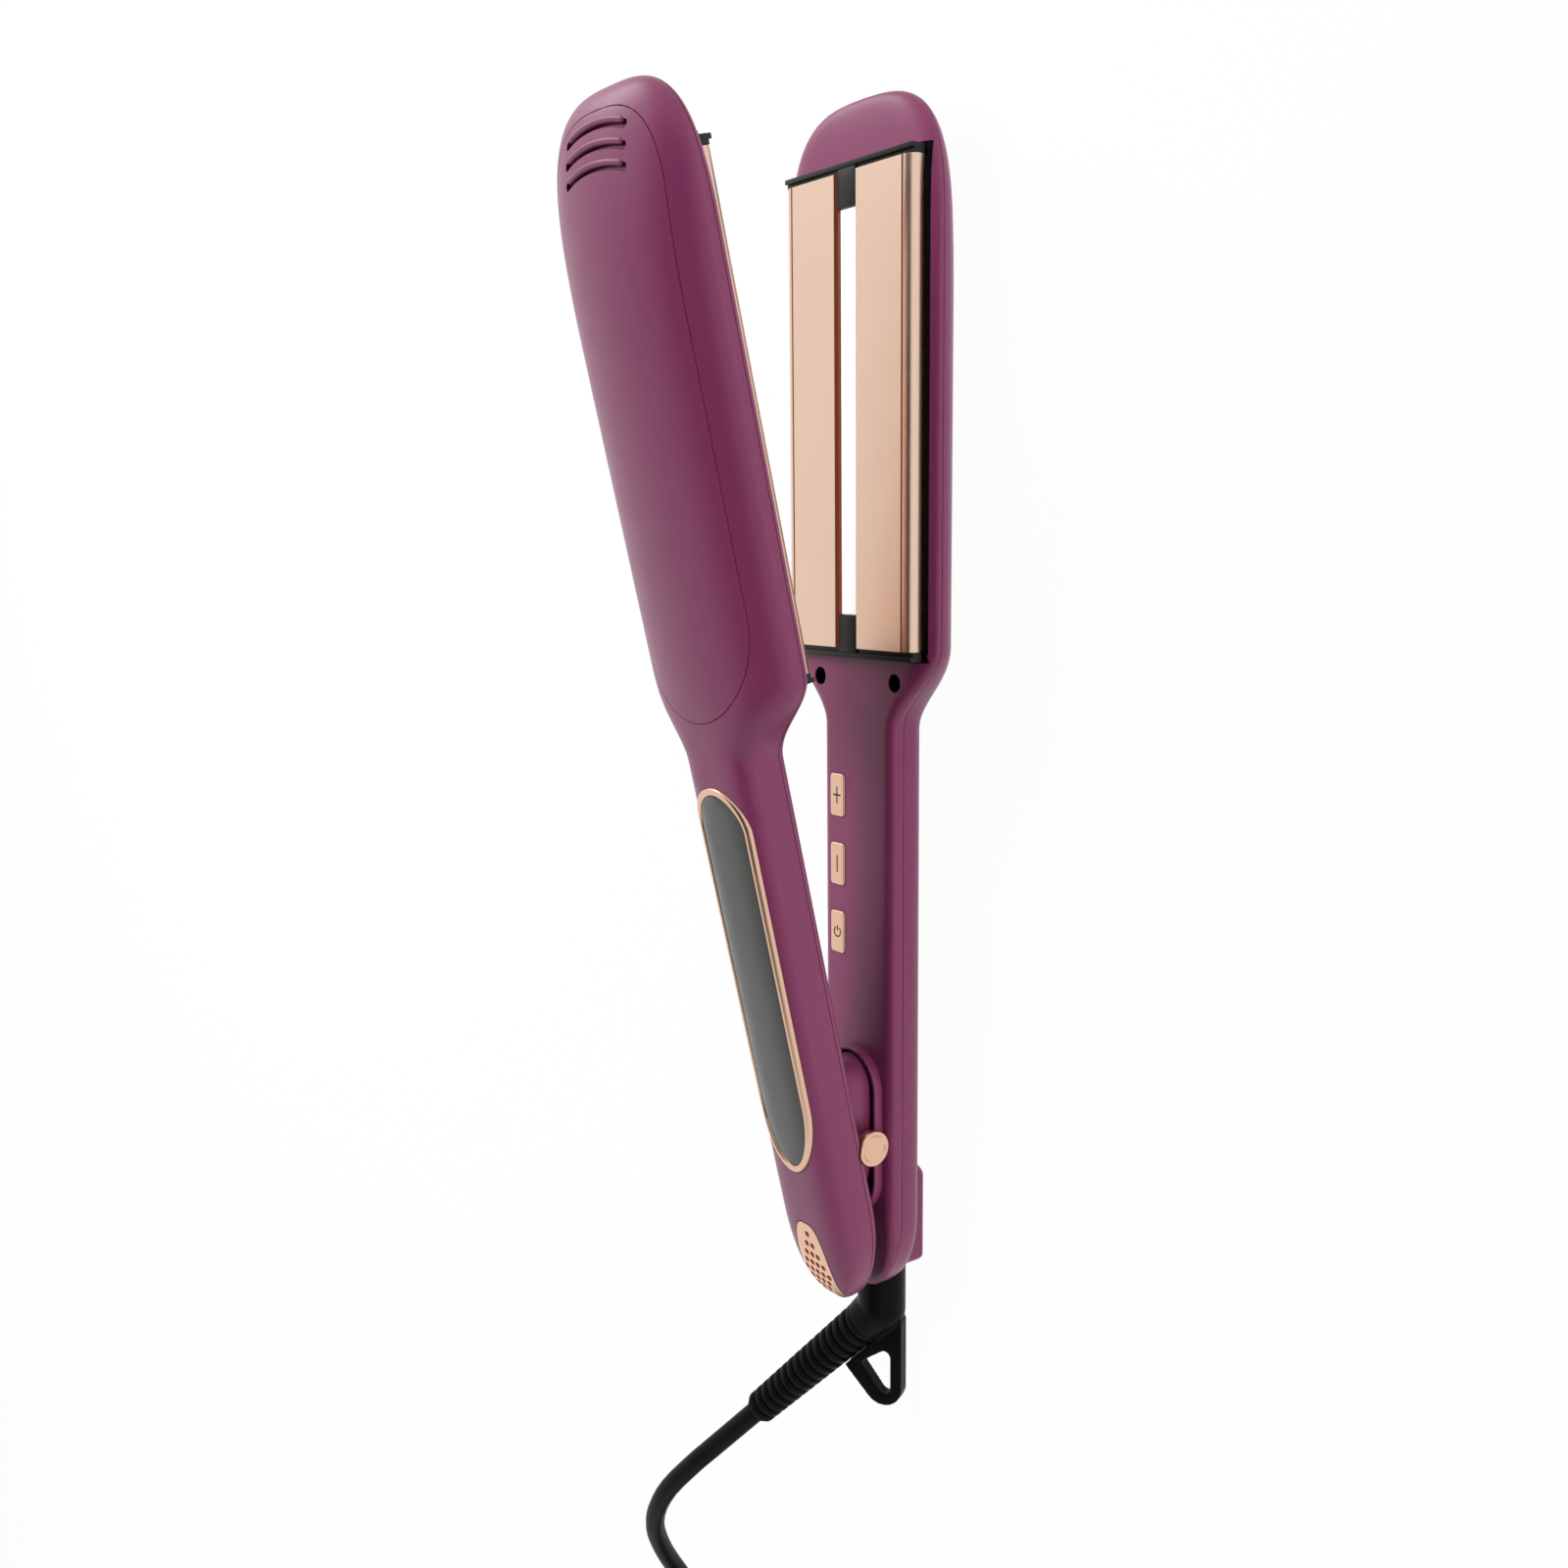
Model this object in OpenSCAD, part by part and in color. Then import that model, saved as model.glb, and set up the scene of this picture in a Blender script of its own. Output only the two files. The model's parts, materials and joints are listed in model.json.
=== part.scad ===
// Wide-plate hair straightening iron with two hinged arms, floating heater plates with an
// infrared slot, a push-button handle, a display handle and a swivelling mains cord.
// The iron lies open on the back of its lower arm: +X points to the plate tips, +Z up.
// Each arm is drawn in its own arm frame: x from the hinge axis to the tip, y across the
// width, z from the meeting plane of the plates out to the back of the arm.

/* [Arms] */
// Hinge axis to the tip of each arm
arm_tip = 254; // [248:1:266]
// Hinge axis to the tail end of each arm
tail_l = 43; // [42:0.5:48]
// Width of the handles
handle_w = 27.6; // [27:0.2:32]
// Width of the heads
head_w = 57; // [56.4:0.2:62]
// Depth of the lower handle's back from the meeting plane
handle_d = 15.9; // [15.4:0.1:16.4]
// Extra height of the upper handle, which holds the display
upper_lift = 2.2; // [1.8:0.1:2.4]
// Depth of the heads' backs and of the tail housing
head_d = 19; // [18.8:0.1:19.6]
// Depth of the inner faces below the meeting plane
face_d = 3.4; // [3.2:0.1:3.6]
// Depth of the seam between the two shells along the handles
part_d = 7.2; // [7:0.1:7.6]
// Depth of the seam between the two shells round the heads
head_part_d = 6.3; // [6.2:0.1:6.6]
// Hinge axis to the start of the neck
neck_x = 105; // [103:0.5:106]
// Length over which the neck widens into the head
neck_l = 21; // [19:0.5:22]
// Wall of the shells
wall = 2; // [1.6:0.1:2.2]
// Length of the rounded tip
tip_round = 36; // [32:1:40]
// Length of the rounded tail
tail_round = 22; // [20:0.5:24]
// Gap left at the parting seam
seam = 0.16; // [0.1:0.02:0.3]

/* [Hinge] */
// Opening angle of the arms at rest
open_angle = 12.8; // [10:0.2:12.8]
// Height of the hinge axis above the lower plate's meeting plane
hinge_h = 2; // [1.8:0.1:2.1]
// Diameter of the hinge pin
pin_d = 4; // [3:0.1:4.1]
// Width of the hinge block on the upper arm
block_w = 15.6; // [15.4:0.1:16]
// Front end of the hinge block from the axis
block_front = 19.4; // [18.4:0.2:20]
// Rear end of the hinge block from the axis
block_rear = 15.3; // [14.5:0.1:16]
// Distance that the block reaches past the meeting plane
block_deep = 7; // [6.8:0.1:7.2]
// Wall of the hinge block at its two sides
block_wall = 2; // [1.8:0.1:2.1]
// Height of the collar round the block above the inner face
collar_h = 2.4; // [1.8:0.1:2.5]
// Diameter of the lock knob's disc
knob_d = 9.2; // [8.4:0.2:9.4]
// Travel of the lock knob
knob_travel = 1; // [0.6:0.1:1]

/* [Plates] */
// Length of the heater plates
plate_l = 112; // [104:1:113]
// Width of the heater plates
plate_w = 48.2; // [44:0.2:48.6]
// Hinge axis to the root end of the plates
plate_x = 125; // [124.5:0.5:127]
// Radius of the plates' long edges
plate_r = 2.8; // [2:0.1:3]
// Gap between the closed plates
plate_gap = 0.3; // [0.3:0.1:0.5]
// Thickness of the plates
plate_t = 3.1; // [3:0.1:3.4]
// Width of the infrared slot
slot_w = 6.8; // [6:0.2:7.6]
// Depth of the infrared slot
slot_d = 2.4; // [2.2:0.1:2.5]
// Length of the end caps
cap_l = 2.3; // [1.8:0.1:2.4]
// Length of the blocks that close the slot
cap_block = 8; // [6:0.5:10]

/* [Controls] */
// Length of a button
button_l = 11; // [9:0.5:12]
// Width of a button
button_w = 5.6; // [5:0.2:6]
// Travel of a button
button_travel = 0.5; // [0.3:0.1:0.6]
// Hinge axis to the first button, next to the hinge
button_x = 51.2; // [50:0.2:54]
// Spacing of the buttons
button_pitch = 17.9; // [16:0.1:18]
// Offset of the buttons to the side of the handle
button_y = 7.4; // [6:0.2:7.6]
// Length of the display bezel
bezel_l = 103; // [98:0.5:104]
// Width of the display bezel
bezel_w = 21.6; // [19:0.2:22]
// Width of the bezel's rim
bezel_rim = 1.9; // [1.6:0.1:2.4]
// Hinge axis to the rear end of the bezel
bezel_x = -3; // [-4:0.5:-2]

/* [Swivel] */
// Diameter of the swivel neck
neck_d = 12.9; // [12:0.1:12.9]
// Diameter of the shaft inside the tail
shaft_d = 7; // [6:0.1:7.4]
// Bore through the shaft and the neck for the wires
core_d = 3; // [2:0.1:3.2]
// Distance from the elbow to the start of the strain relief
boot_start = 7; // [6.8:0.1:8]
// Diameter of the strain relief at the elbow
boot_d = 11.2; // [10.4:0.1:11.4]
// Ribs on the strain relief
boot_ribs = 16; // [14:1:17]
// Thickness of the hanging loop
loop_t = 4; // [3.6:0.1:4.6]

/* [Cord] */
// Diameter of the cord
cord_d = 5.8; // [5:0.1:5.8]
// Turns of the put-away coil
coil_turns = 9.25; // [9.25:1:10.25]
// Radius at the middle of the coil's turns
coil_mid = 31.5; // [31:0.5:33]
// Spacing of turns and layers
coil_pitch = 6.3; // [6.3:0.05:6.5]
// Diameter of the plug's pins
plug_pin_d = 4; // [3.8:0.1:4.4]
// Length of the plug's pins
plug_pin_l = 19; // [17:0.5:20]
// Spacing of the plug's pins
plug_pitch = 18.6; // [17:0.1:20]

/* [Hidden] */
$fn = 48;

slack = 0.15;
arc_n = 6;
plate_mid = plate_x + plate_l / 2;
plate_z = plate_gap / 2;
part_rise = 1.6;
upper_part_fall = 2.2;
tail_start = tail_l - tail_round;
tip_start = arm_tip - tip_round;
back_tip_round = tip_round + 13;
upper_tail_round = 27;
upper_tail_start = tail_l - upper_tail_round;
tail_wall = 8;
handle_bend = 3.5;
head_bend = 1.97;
lower_tail_bend = 4;
upper_tail_bend = 3;
tip_bend = 3.2;
tail_bend = 2.2;
face_round = [3, 2.4];
head_face_round = [8, 2.6];

plum = [0.48, 0.22, 0.36];
rose = [0.88, 0.68, 0.56];
dark = [0.08, 0.08, 0.08];

// ---- Shape of the arms ----

function mix(a, b, t) = a + (b - a) * t;
function ease(t) = let (c = min(max(t, 0), 1)) c * c * (3 - 2 * c);
function bow(u, n) = pow(1 - pow(min(max(u, 0), 0.9999), n), 1 / n);

// 0 on the handle, 1 on the head
function headness(x) = ease((x - neck_x) / neck_l);

// How far the upper handle stands off, fading out at the head
function lift(x, up) = up ? upper_lift * (1 - headness(x)) : 0;

// Half width of an arm at x, with every surface drawn in by e and the tail's end by et
function half_w(x, e, et, up) =
    let (r = up ? upper_tail_round : tail_round, x0 = r - tail_l)
    x < x0 ? (handle_w / 2 - e) * bow((x0 - x) / (r - et), tail_bend)
    : x > tip_start ? (head_w / 2 - e) * bow((x - tip_start) / (tip_round - e), tip_bend)
    : mix(handle_w, head_w, headness(x)) / 2 - e;

// 0 along the handle, 1 at the end of the tail
function tailness(x, up) =
    let (r = up ? upper_tail_round : tail_round) min(max((r - tail_l - x) / r, 0), 1);

// Depth of the parting seam, which turns towards the middle of the tail's end
function part_z(x, up) =
    mix(part_d, head_part_d, headness(x))
    + (up ? upper_part_fall : -part_rise) * ease(tailness(x, up));

// Depth of the crown of the back, along the middle of an arm
function crown_z(x, e, et, up) =
    let (s = part_z(x, up), x1 = arm_tip - back_tip_round,
         d = mix(handle_d, head_d, headness(x)) + lift(x, up) - e)
    x > x1 ? s + (d - s) * bow((x - x1) / (back_tip_round - e), 2)
    : up && x < -upper_tail_start
        ? s + (d - s) * bow((-upper_tail_start - x) / (upper_tail_round - et), upper_tail_bend)
    : !up && x < -tail_start
        ? s + (d - s) * bow((-tail_start - x) / (tail_round - et), lower_tail_bend)
    : d;

// How square the back is in cross-section
function back_bend(x) = mix(handle_bend, head_bend, headness(x));

// Depth of the back surface at any point
function surf_z(x, y, e, et, up) =
    let (n = back_bend(x), u = min(abs(y) / half_w(x, e, et, up), 1), s = part_z(x, up))
    s + (crown_z(x, e, et, up) - s) * pow(1 - pow(u, n), 1 / n);

// Depth of the inner face, which falls away at the tail to let the arms open
function face_z(x, e, up) =
    let (s = part_z(x, up), f0 = face_d + 0.6 * lift(x, up),
         f = mix(f0, s - e - 0.6, pow(tailness(x, up), 1.3)) + e)
    x > tip_start ? s - (s - f) * bow((x - tip_start) / (tip_round - e), 4) : f;

// Width and height of the rounded edges of the inner face
function face_corner(x, e, w, h) =
    [min(mix(face_round[0], head_face_round[0], headness(x)) - e / 2, w * 0.9),
     min(mix(face_round[1], head_face_round[1], headness(x)) - e / 2, h * 0.95)];

// Cross-sections: from the seam on the -y side round to the seam on the +y side
function outer_arch(x, e, et, up) =
    let (s = part_z(x, up) + seam / 2, w = half_w(x, e, et, up),
         d = crown_z(x, e, et, up) - s, n = back_bend(x), m = 2 * arc_n + 3)
    [for (i = [0 : m]) let (a = 180 * i / m)
        [x, i == 0 ? -w : i == m ? w : -w * sign(cos(a)) * pow(abs(cos(a)), 2 / n),
            i == 0 || i == m ? s : s + d * pow(sin(a), 2 / n)]];

function inner_arch(x, e, et, up) =
    let (s = part_z(x, up) - seam / 2, w = half_w(x, e, et, up), d = face_z(x, e, up),
         c = face_corner(x, e, w, s - d))
    concat([[x, -w, s]],
        [for (i = [0 : arc_n]) let (a = 90 * i / arc_n)
            [x, -w + c[0] * (1 - cos(a)), d + c[1] * (1 - sin(a))]],
        [for (i = [arc_n : -1 : 0]) let (a = 90 * i / arc_n)
            [x, w - c[0] * (1 - cos(a)), d + c[1] * (1 - sin(a))]],
        [[x, w, s]]);

// Stations along an arm whose ends are drawn in by e at the tip and by et at the tail
function stations(e, et, up) =
    let (r = up ? upper_tail_round : tail_round)
    concat(
        [for (a = [80, 72, 60, 48, 36, 24, 12, 0]) r - tail_l - r * sin(a) + et * sin(a)],
        [-11, -5, 10],
        [40],
        [for (k = [0 : 7]) neck_x + neck_l * k / 7],
        [neck_x + neck_l + 40, arm_tip - back_tip_round, tip_start],
        [for (a = [15, 30, 42, 52, 61, 69, 76, 82]) tip_start + (tip_round - e) * sin(a)]);

function flip(faces, on) = on ? [for (f = faces) [f[0], f[2], f[1]]] : faces;

// Triangles of a skin of rings: m points in each of n rings, the first point at index k
function skin(n, m, k) = [
    for (j = [0 : n - 2], i = [0 : m - 2])
        let (a = k + j * m + i, b = a + 1, c = a + m, d = c + 1)
            each [[a, b, d], [a, d, c]]];
function fan(m, k) = [for (i = [1 : m - 2]) [k, k + i, k + i + 1]];

// A hollow half of an arm: one skin outside, one inside, joined round the open rim
module half_shell(rings_out, rings_in, flipped) {
    n = len(rings_out);
    m = len(rings_out[0]);
    q = n * m;
    outside = concat(skin(n, m, 0), flip(fan(m, 0), true), fan(m, (n - 1) * m));
    inside = flip(concat(skin(n, m, q), flip(fan(m, q), true), fan(m, q + (n - 1) * m)), true);
    rim = [for (j = [0 : n - 2]) let (a = j * m, b = a + m, c = a + m - 1, d = b + m - 1)
        each [[a, b, q + b], [a, q + b, q + a], [d, c, q + c], [d, q + c, q + d]]];
    e = (n - 1) * m;
    ends = [[m - 1, 0, q], [m - 1, q, q + m - 1],
            [e, e + m - 1, q + e + m - 1], [e, q + e + m - 1, q + e]];
    polyhedron(
        points = [for (r = concat(rings_out, rings_in), p = r) p],
        faces = flip(concat(outside, inside, rim, ends), flipped),
        convexity = 8);
}

module outer_half(up) {
    et = up ? wall : tail_wall;
    half_shell(
        [for (x = stations(0, 0, up)) outer_arch(x, 0, 0, up)],
        [for (x = stations(wall, et, up)) outer_arch(x, wall, et, up)], false);
}

module inner_half(up) {
    half_shell(
        [for (x = stations(0, 0, up)) inner_arch(x, 0, 0, up)],
        [for (x = stations(wall, tail_wall, up)) inner_arch(x, wall, tail_wall, up)], true);
}

// A curved sheet: a grid of points on its top, the same grid on its underside
module sheet_between(top, under) {
    n = len(top);
    m = len(top[0]);
    q = n * m;
    edge = concat(
        [for (i = [0 : m - 2]) each [[i + 1, i, q + i], [i + 1, q + i, q + i + 1]]],
        [for (i = [0 : m - 2]) let (a = q - m + i)
            each [[a, a + 1, q + a + 1], [a, q + a + 1, q + a]]],
        [for (j = [0 : n - 2]) let (a = j * m, b = a + m, c = b - 1, d = c + m)
            each [[a, b, q + b], [a, q + b, q + a], [d, c, q + c], [d, q + c, q + d]]]);
    polyhedron(
        points = [for (r = concat(top, under), p = r) p],
        faces = concat(skin(n, m, 0), flip(skin(n, m, q), true), edge),
        convexity = 6);
}

// ---- Placing the arms ----

module on_lower() {
    translate([-plate_mid, 0, head_d]) mirror([0, 0, 1]) children();
}

module on_upper() {
    translate([-plate_mid, 0, head_d + hinge_h]) rotate([0, -open_angle, 0])
        translate([0, 0, -hinge_h]) children();
}

// A bar with half-round ends, from x0 to x1 and w wide
function bar_outline(x0, x1, w) = let (r = w / 2, k = 10) concat(
    [for (i = [0 : k]) let (a = -90 + 180 * i / k) [x1 - r + r * cos(a), r * sin(a)]],
    [for (i = [0 : k]) let (a = 90 + 180 * i / k) [x0 + r + r * cos(a), r * sin(a)]]);

// A rectangle with rounded corners about the origin
function tile_outline(l, w, r) = [
    for (q = [0 : 3], i = [0 : 4])
        let (a = 90 * q + 90 * i / 4, sx = q == 0 || q == 3 ? 1 : -1, sy = q < 2 ? 1 : -1)
            [sx * (l / 2 - r) + r * cos(a), sy * (w / 2 - r) + r * sin(a)]];

module prism(outline, z0, z1) {
    translate([0, 0, z0]) linear_extrude(height = z1 - z0) polygon(outline);
}

module across(x, z, d, y0, y1) {
    translate([x, y0, z]) rotate([-90, 0, 0]) cylinder(d = d, h = y1 - y0);
}

// ---- Housing round the cord's exit, a step on the back of the lower tail ----

housing_x0 = 5.6 - tail_l;
housing_x1 = -9.5;
housing_w = 18.6;
housing_base = 13;
housing_ramp = 6;
housing_corner = 2;
housing_edge = 1.5;

function housing_half(x) =
    housing_w / 2 - housing_corner * (1 - bow((housing_x0 - x) / housing_corner + 1, 2));
function housing_top(x) =
    mix(handle_d - 0.6, head_d, ease((housing_x1 - x) / housing_ramp))
    - housing_edge * (1 - bow((housing_x0 - x) / housing_edge + 1, 2));
housing_stations = concat(
    [for (a = [90, 60, 35, 15, 0]) housing_x0 + housing_corner * (1 - sin(a))],
    [for (k = [0 : 4]) housing_x1 - housing_ramp * (1 - k / 4)]);

module cord_housing() {
    sheet_between(
        [for (x = housing_stations) let (w = housing_half(x), z = housing_top(x))
            [for (side = [-1, 1], a = side < 0 ? [0, 30, 60, 90] : [90, 60, 30, 0])
                [x, side * (w - housing_edge * (1 - cos(a))), z - housing_edge * (1 - sin(a))]]],
        [for (x = housing_stations) let (w = housing_half(x))
            [for (side = [-1, 1], a = side < 0 ? [0, 30, 60, 90] : [90, 60, 30, 0])
                [x, side * (w - housing_edge * (1 - cos(a))), housing_base]]]);
}

// ---- Cover panels and the pockets that hold them ----

panel_x0 = neck_x + 11.2;
panel_x1 = arm_tip - 4.8;
panel_w = 44.6;
panel_root = 24;
panel_tip = 24;
panel_t = 1.2;
pocket_floor = 0.05;

function panel_half(x, grow) =
    let (u = (panel_x0 + panel_root - x) / (panel_root + grow),
         v = (x - panel_x1 + panel_tip) / (panel_tip + grow))
    (panel_w / 2 + grow) * (u > 0 ? bow(u, 2) : v > 0 ? bow(v, 2.8) : 1);
function panel_stations(grow) = concat(
    [for (a = [82, 70, 55, 38, 20, 0]) panel_x0 + panel_root - (panel_root + grow) * sin(a)],
    [for (k = [1 : 3]) mix(panel_x0 + panel_root, panel_x1 - panel_tip, k / 4)],
    [for (a = [0, 20, 38, 55, 66, 75, 82]) panel_x1 - panel_tip + (panel_tip + grow) * sin(a)]);
function panel_rows(grow, e, up) = [
    for (x = panel_stations(grow))
        let (w = panel_half(x, grow))
            [for (k = [-4 : 4]) [x, w * k / 4, surf_z(x, w * k / 4, e, 0, up)]]];

vent_x = [for (k = [0 : 2]) arm_tip - 7.7 - 4.1 * k];
vent_r = 42;
vent_w = 1.8;
vent_half = 16.5;

module vent_slots() {
    for (x = vent_x)
        translate([x - vent_r, 0, part_d]) rotate([0, 0, -vent_half])
            rotate_extrude(angle = 2 * vent_half)
                translate([vent_r - vent_w / 2, 0]) square([vent_w, head_d]);
}

module cover_panel(up) {
    difference() {
        sheet_between(panel_rows(0, 0, up), panel_rows(0, panel_t, up));
        vent_slots();
    }
}

module panel_pocket(up) {
    sheet_between(panel_rows(slack, -1.5, up), panel_rows(slack, panel_t + pocket_floor, up));
}

// ---- Screws that hold the shells together ----

screw_x = neck_x + 12;
screw_y = 14.6;
screw_head_d = 4.2;
screw_hole_d = 4.6;
screw_floor = 8.4;
screw_shank_d = 2.4;
seat_end = 10.2;
screw_end = seat_end + 3;
boss_d = 7;
head_t = 1.6;

module at_screws() {
    for (side = [-1, 1]) translate([screw_x, side * screw_y, 0]) children();
}

module shell_screw() {
    difference() {
        union() {
            translate([0, 0, screw_floor - head_t]) cylinder(d = screw_head_d, h = head_t);
            translate([0, 0, screw_floor - 0.1])
                cylinder(d = screw_shank_d, h = screw_end - screw_floor);
        }
        for (a = [0, 90]) rotate([0, 0, a]) translate([-1.3, -0.3, screw_floor - head_t - 1])
            cube([2.6, 0.6, 1.8]);
    }
}

module screw_seats() {
    at_screws() difference() {
        translate([0, 0, face_d + wall - 0.2]) cylinder(d = boss_d, h = seat_end - face_d - wall + 0.2);
        cylinder(d = screw_hole_d, h = screw_floor);
        cylinder(d = screw_shank_d + 2 * pin_fit, h = seat_end + 1);
    }
}

// ---- Shells ----

block_x0 = -block_rear;
block_x1 = block_front;
collar_gap = 1.5;
collar_in_w = block_w + 2 * collar_gap;
collar_t = 1;
collar_x0 = -block_rear - 5;
collar_x1 = block_front + 2.2;
window_x0 = plate_x - cap_l - 0.4;
window_x1 = plate_x + plate_l + cap_l + 0.4;
cap_w = plate_w;
pin_fit = 0.1;

module outer_shell(up) {
    difference() {
        union() {
            outer_half(up);
            if (!up) cord_housing();
            at_screws() translate([0, 0, seat_end + 0.1]) cylinder(d = boss_d, h = 4);
        }
        at_screws() translate([0, 0, part_d]) cylinder(d = screw_shank_d, h = screw_end - part_d + 0.2);
        panel_pocket(up);
        if (up) {
            display_pocket();
            grille_pocket();
        } else {
            swivel_bores();
        }
    }
}

module inner_shell_body(up) {
    difference() {
        inner_half(up);
        translate([window_x0, -plate_w / 2 - 0.5, 0])
            cube([window_x1 - window_x0, plate_w + 1, part_d + 1]);
        for (x = [window_x0, plate_x + plate_l - 0.1])
            translate([x, -cap_w / 2 - 0.3, 0])
                cube([cap_l + 0.5, cap_w + 0.6, part_d + 1]);
        at_screws() cylinder(d = screw_hole_d, h = screw_floor);
        if (!up) {
            prism(bar_outline(collar_x0, collar_x1, collar_in_w), 0, part_d + 1);
            at_buttons() prism(tile_outline(button_l + 2 * slack, button_w + 2 * slack, 1.2), 0, 8);
            swivel_seat();
        }
    }
}

module lower_outer_shell() { color(plum) on_lower() outer_shell(false); }
module upper_outer_shell() { color(plum) on_upper() outer_shell(true); }

module lower_inner_shell() {
    color(plum) on_lower() {
        inner_shell_body(false);
        screw_seats();
        difference() {
            prism(bar_outline(collar_x0 - collar_t, collar_x1 + collar_t, collar_in_w + 2 * collar_t),
                face_d - collar_h, face_d + 0.6);
            prism(bar_outline(collar_x0, collar_x1, collar_in_w), 0, part_d + 1);
        }
    }
}

guide_d = 5.4;
knob_gap = 0.3;
knob_stop = collar_in_w / 2 + collar_t;
knob_back = knob_stop + knob_travel + knob_gap;
pin_end = block_w / 2 - 1.2;
hollow_w = block_w - 2 * block_wall;

module upper_inner_shell() {
    color(plum) on_upper() difference() {
        union() {
            inner_shell_body(true);
            screw_seats();
            prism(bar_outline(block_x0, block_x1, block_w), -block_deep, face_z(0, 0, true) + 0.8);
            across(0, hinge_h, guide_d, -knob_stop, -block_w / 2 + 0.5);
        }
        prism(bar_outline(block_x0 + 1.5, block_x1 - 1.5, hollow_w), -block_deep - 1, part_d);
        across(0, hinge_h, pin_d + pin_fit, -handle_w / 2 - 2, block_w / 2 + 1);
        across(0, hinge_h, knob_d + 0.8, -handle_w / 2 - 2, -knob_stop);
    }
}

module lower_cover_panel() { color(plum) on_lower() cover_panel(false); }
module upper_cover_panel() { color(plum) on_upper() cover_panel(true); }

// ---- Heater plates ----

lens_recess = 1.2;
lens_t = slot_d - lens_recess - 0.05;
window_w = 4.4;
element_t = 1.4;
element_w = 14;
element_l = 80;
element_y = 13.5;
carrier_t = 2;
plate_back = plate_z + plate_t;
carrier_z = plate_back + element_t;

// Half of the plate's cross-section from the slot to the outer edge
plate_half = concat(
    [[0, plate_z + slot_d], [slot_w / 2, plate_z + slot_d], [slot_w / 2, plate_z]],
    [for (i = [0 : 6]) let (a = 90 * i / 6)
        [plate_w / 2 - plate_r * (1 - sin(a)), plate_z + plate_r * (1 - cos(a))]],
    [[plate_w / 2, plate_back + 1.2], [plate_w / 2 - 1.4, plate_back + 1.2],
     [plate_w / 2 - 1.4, plate_back], [0, plate_back]]);

module along(x0, l, outline) {
    translate([x0, 0, 0]) rotate([90, 0, 90]) linear_extrude(height = l) polygon(outline);
}

module heater_plate() {
    difference() {
        union() {
            along(plate_x, plate_l, plate_half);
            mirror([0, 1, 0]) along(plate_x, plate_l, plate_half);
        }
        translate([plate_x + cap_block + 4, -window_w / 2, 0])
            cube([plate_l - 2 * cap_block - 8, window_w, 8]);
    }
}

module lower_heater_plate() { color(rose) on_lower() heater_plate(); }
module upper_heater_plate() { color(rose) on_upper() heater_plate(); }

// The cap across one end of a plate, with the block that closes the slot
cap_top = plate_z + 0.25;
cap_step = 0.8;
module end_cap() {
    translate([-cap_l, -cap_w / 2, cap_top]) cube([cap_l / 2, cap_w, 5]);
    translate([-cap_l / 2 - 0.1, -cap_w / 2, cap_top + cap_step])
        cube([cap_l / 2 + 0.05, cap_w, 5 - cap_step]);
    translate([-cap_l / 2, -slot_w / 2 + 0.05, plate_z + 0.5])
        cube([cap_block + cap_l / 2, slot_w - 0.1, slot_d - 0.55]);
}

module root_cap() { translate([plate_x, 0, 0]) end_cap(); }
module tip_cap() { translate([plate_x + plate_l, 0, 0]) mirror([1, 0, 0]) end_cap(); }

module lower_plate_root_cap() { color(dark) on_lower() root_cap(); }
module upper_plate_root_cap() { color(dark) on_upper() root_cap(); }
module lower_plate_tip_cap() { color(dark) on_lower() tip_cap(); }
module upper_plate_tip_cap() { color(dark) on_upper() tip_cap(); }

module infrared_lens() {
    translate([plate_x + cap_block + 0.1, -slot_w / 2 + 0.1, plate_z + lens_recess])
        cube([plate_l - 2 * cap_block - 0.2, slot_w - 0.2, lens_t]);
}

module lower_infrared_lens() { color("white") on_lower() infrared_lens(); }
module upper_infrared_lens() { color("white") on_upper() infrared_lens(); }

emitter_l = 84;
emitter_w = 7;
emitter_pitch = 10;
emitter_x = emitter_pitch * floor((emitter_l / 2 - 2) / emitter_pitch);
module infrared_emitter() {
    translate([plate_mid - emitter_l / 2, -emitter_w / 2, carrier_z]) cube([emitter_l, emitter_w, 0.8]);
    for (x = [-emitter_x : emitter_pitch : emitter_x])
        translate([plate_mid + x, 0, plate_back - 0.4]) cylinder(d = 3, h = element_t + 0.45);
}

module lower_infrared_emitter() { color("red") on_lower() infrared_emitter(); }
module upper_infrared_emitter() { color("red") on_upper() infrared_emitter(); }

module heater_element() {
    for (side = [-1, 1])
        translate([plate_mid - element_l / 2, side * element_y - element_w / 2, plate_back])
            cube([element_l, element_w, element_t]);
}

module lower_heater_element() { color("white") on_lower() heater_element(); }
module upper_heater_element() { color("white") on_upper() heater_element(); }

carrier_l = plate_l - 2;
carrier_w = plate_w - 3.2;
rib_t = 1.6;
rib_y = (carrier_w - rib_t) / 2;
module plate_carrier() {
    difference() {
        union() {
            translate([plate_mid - carrier_l / 2, -carrier_w / 2, carrier_z])
                cube([carrier_l, carrier_w, carrier_t]);
            for (side = [-1, 1])
                translate([plate_mid - carrier_l / 2, side * rib_y - rib_t / 2, plate_back])
                    cube([carrier_l, rib_t, element_t + 0.5]);
        }
        translate([plate_mid - emitter_l / 2 - 0.2, -emitter_w / 2 - 0.2, carrier_z - 1])
            cube([emitter_l + 0.4, emitter_w + 0.4, 1.85]);
    }
}

module lower_plate_carrier() { color("dimgray") on_lower() plate_carrier(); }
module upper_plate_carrier() { color("dimgray") on_upper() plate_carrier(); }

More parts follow.
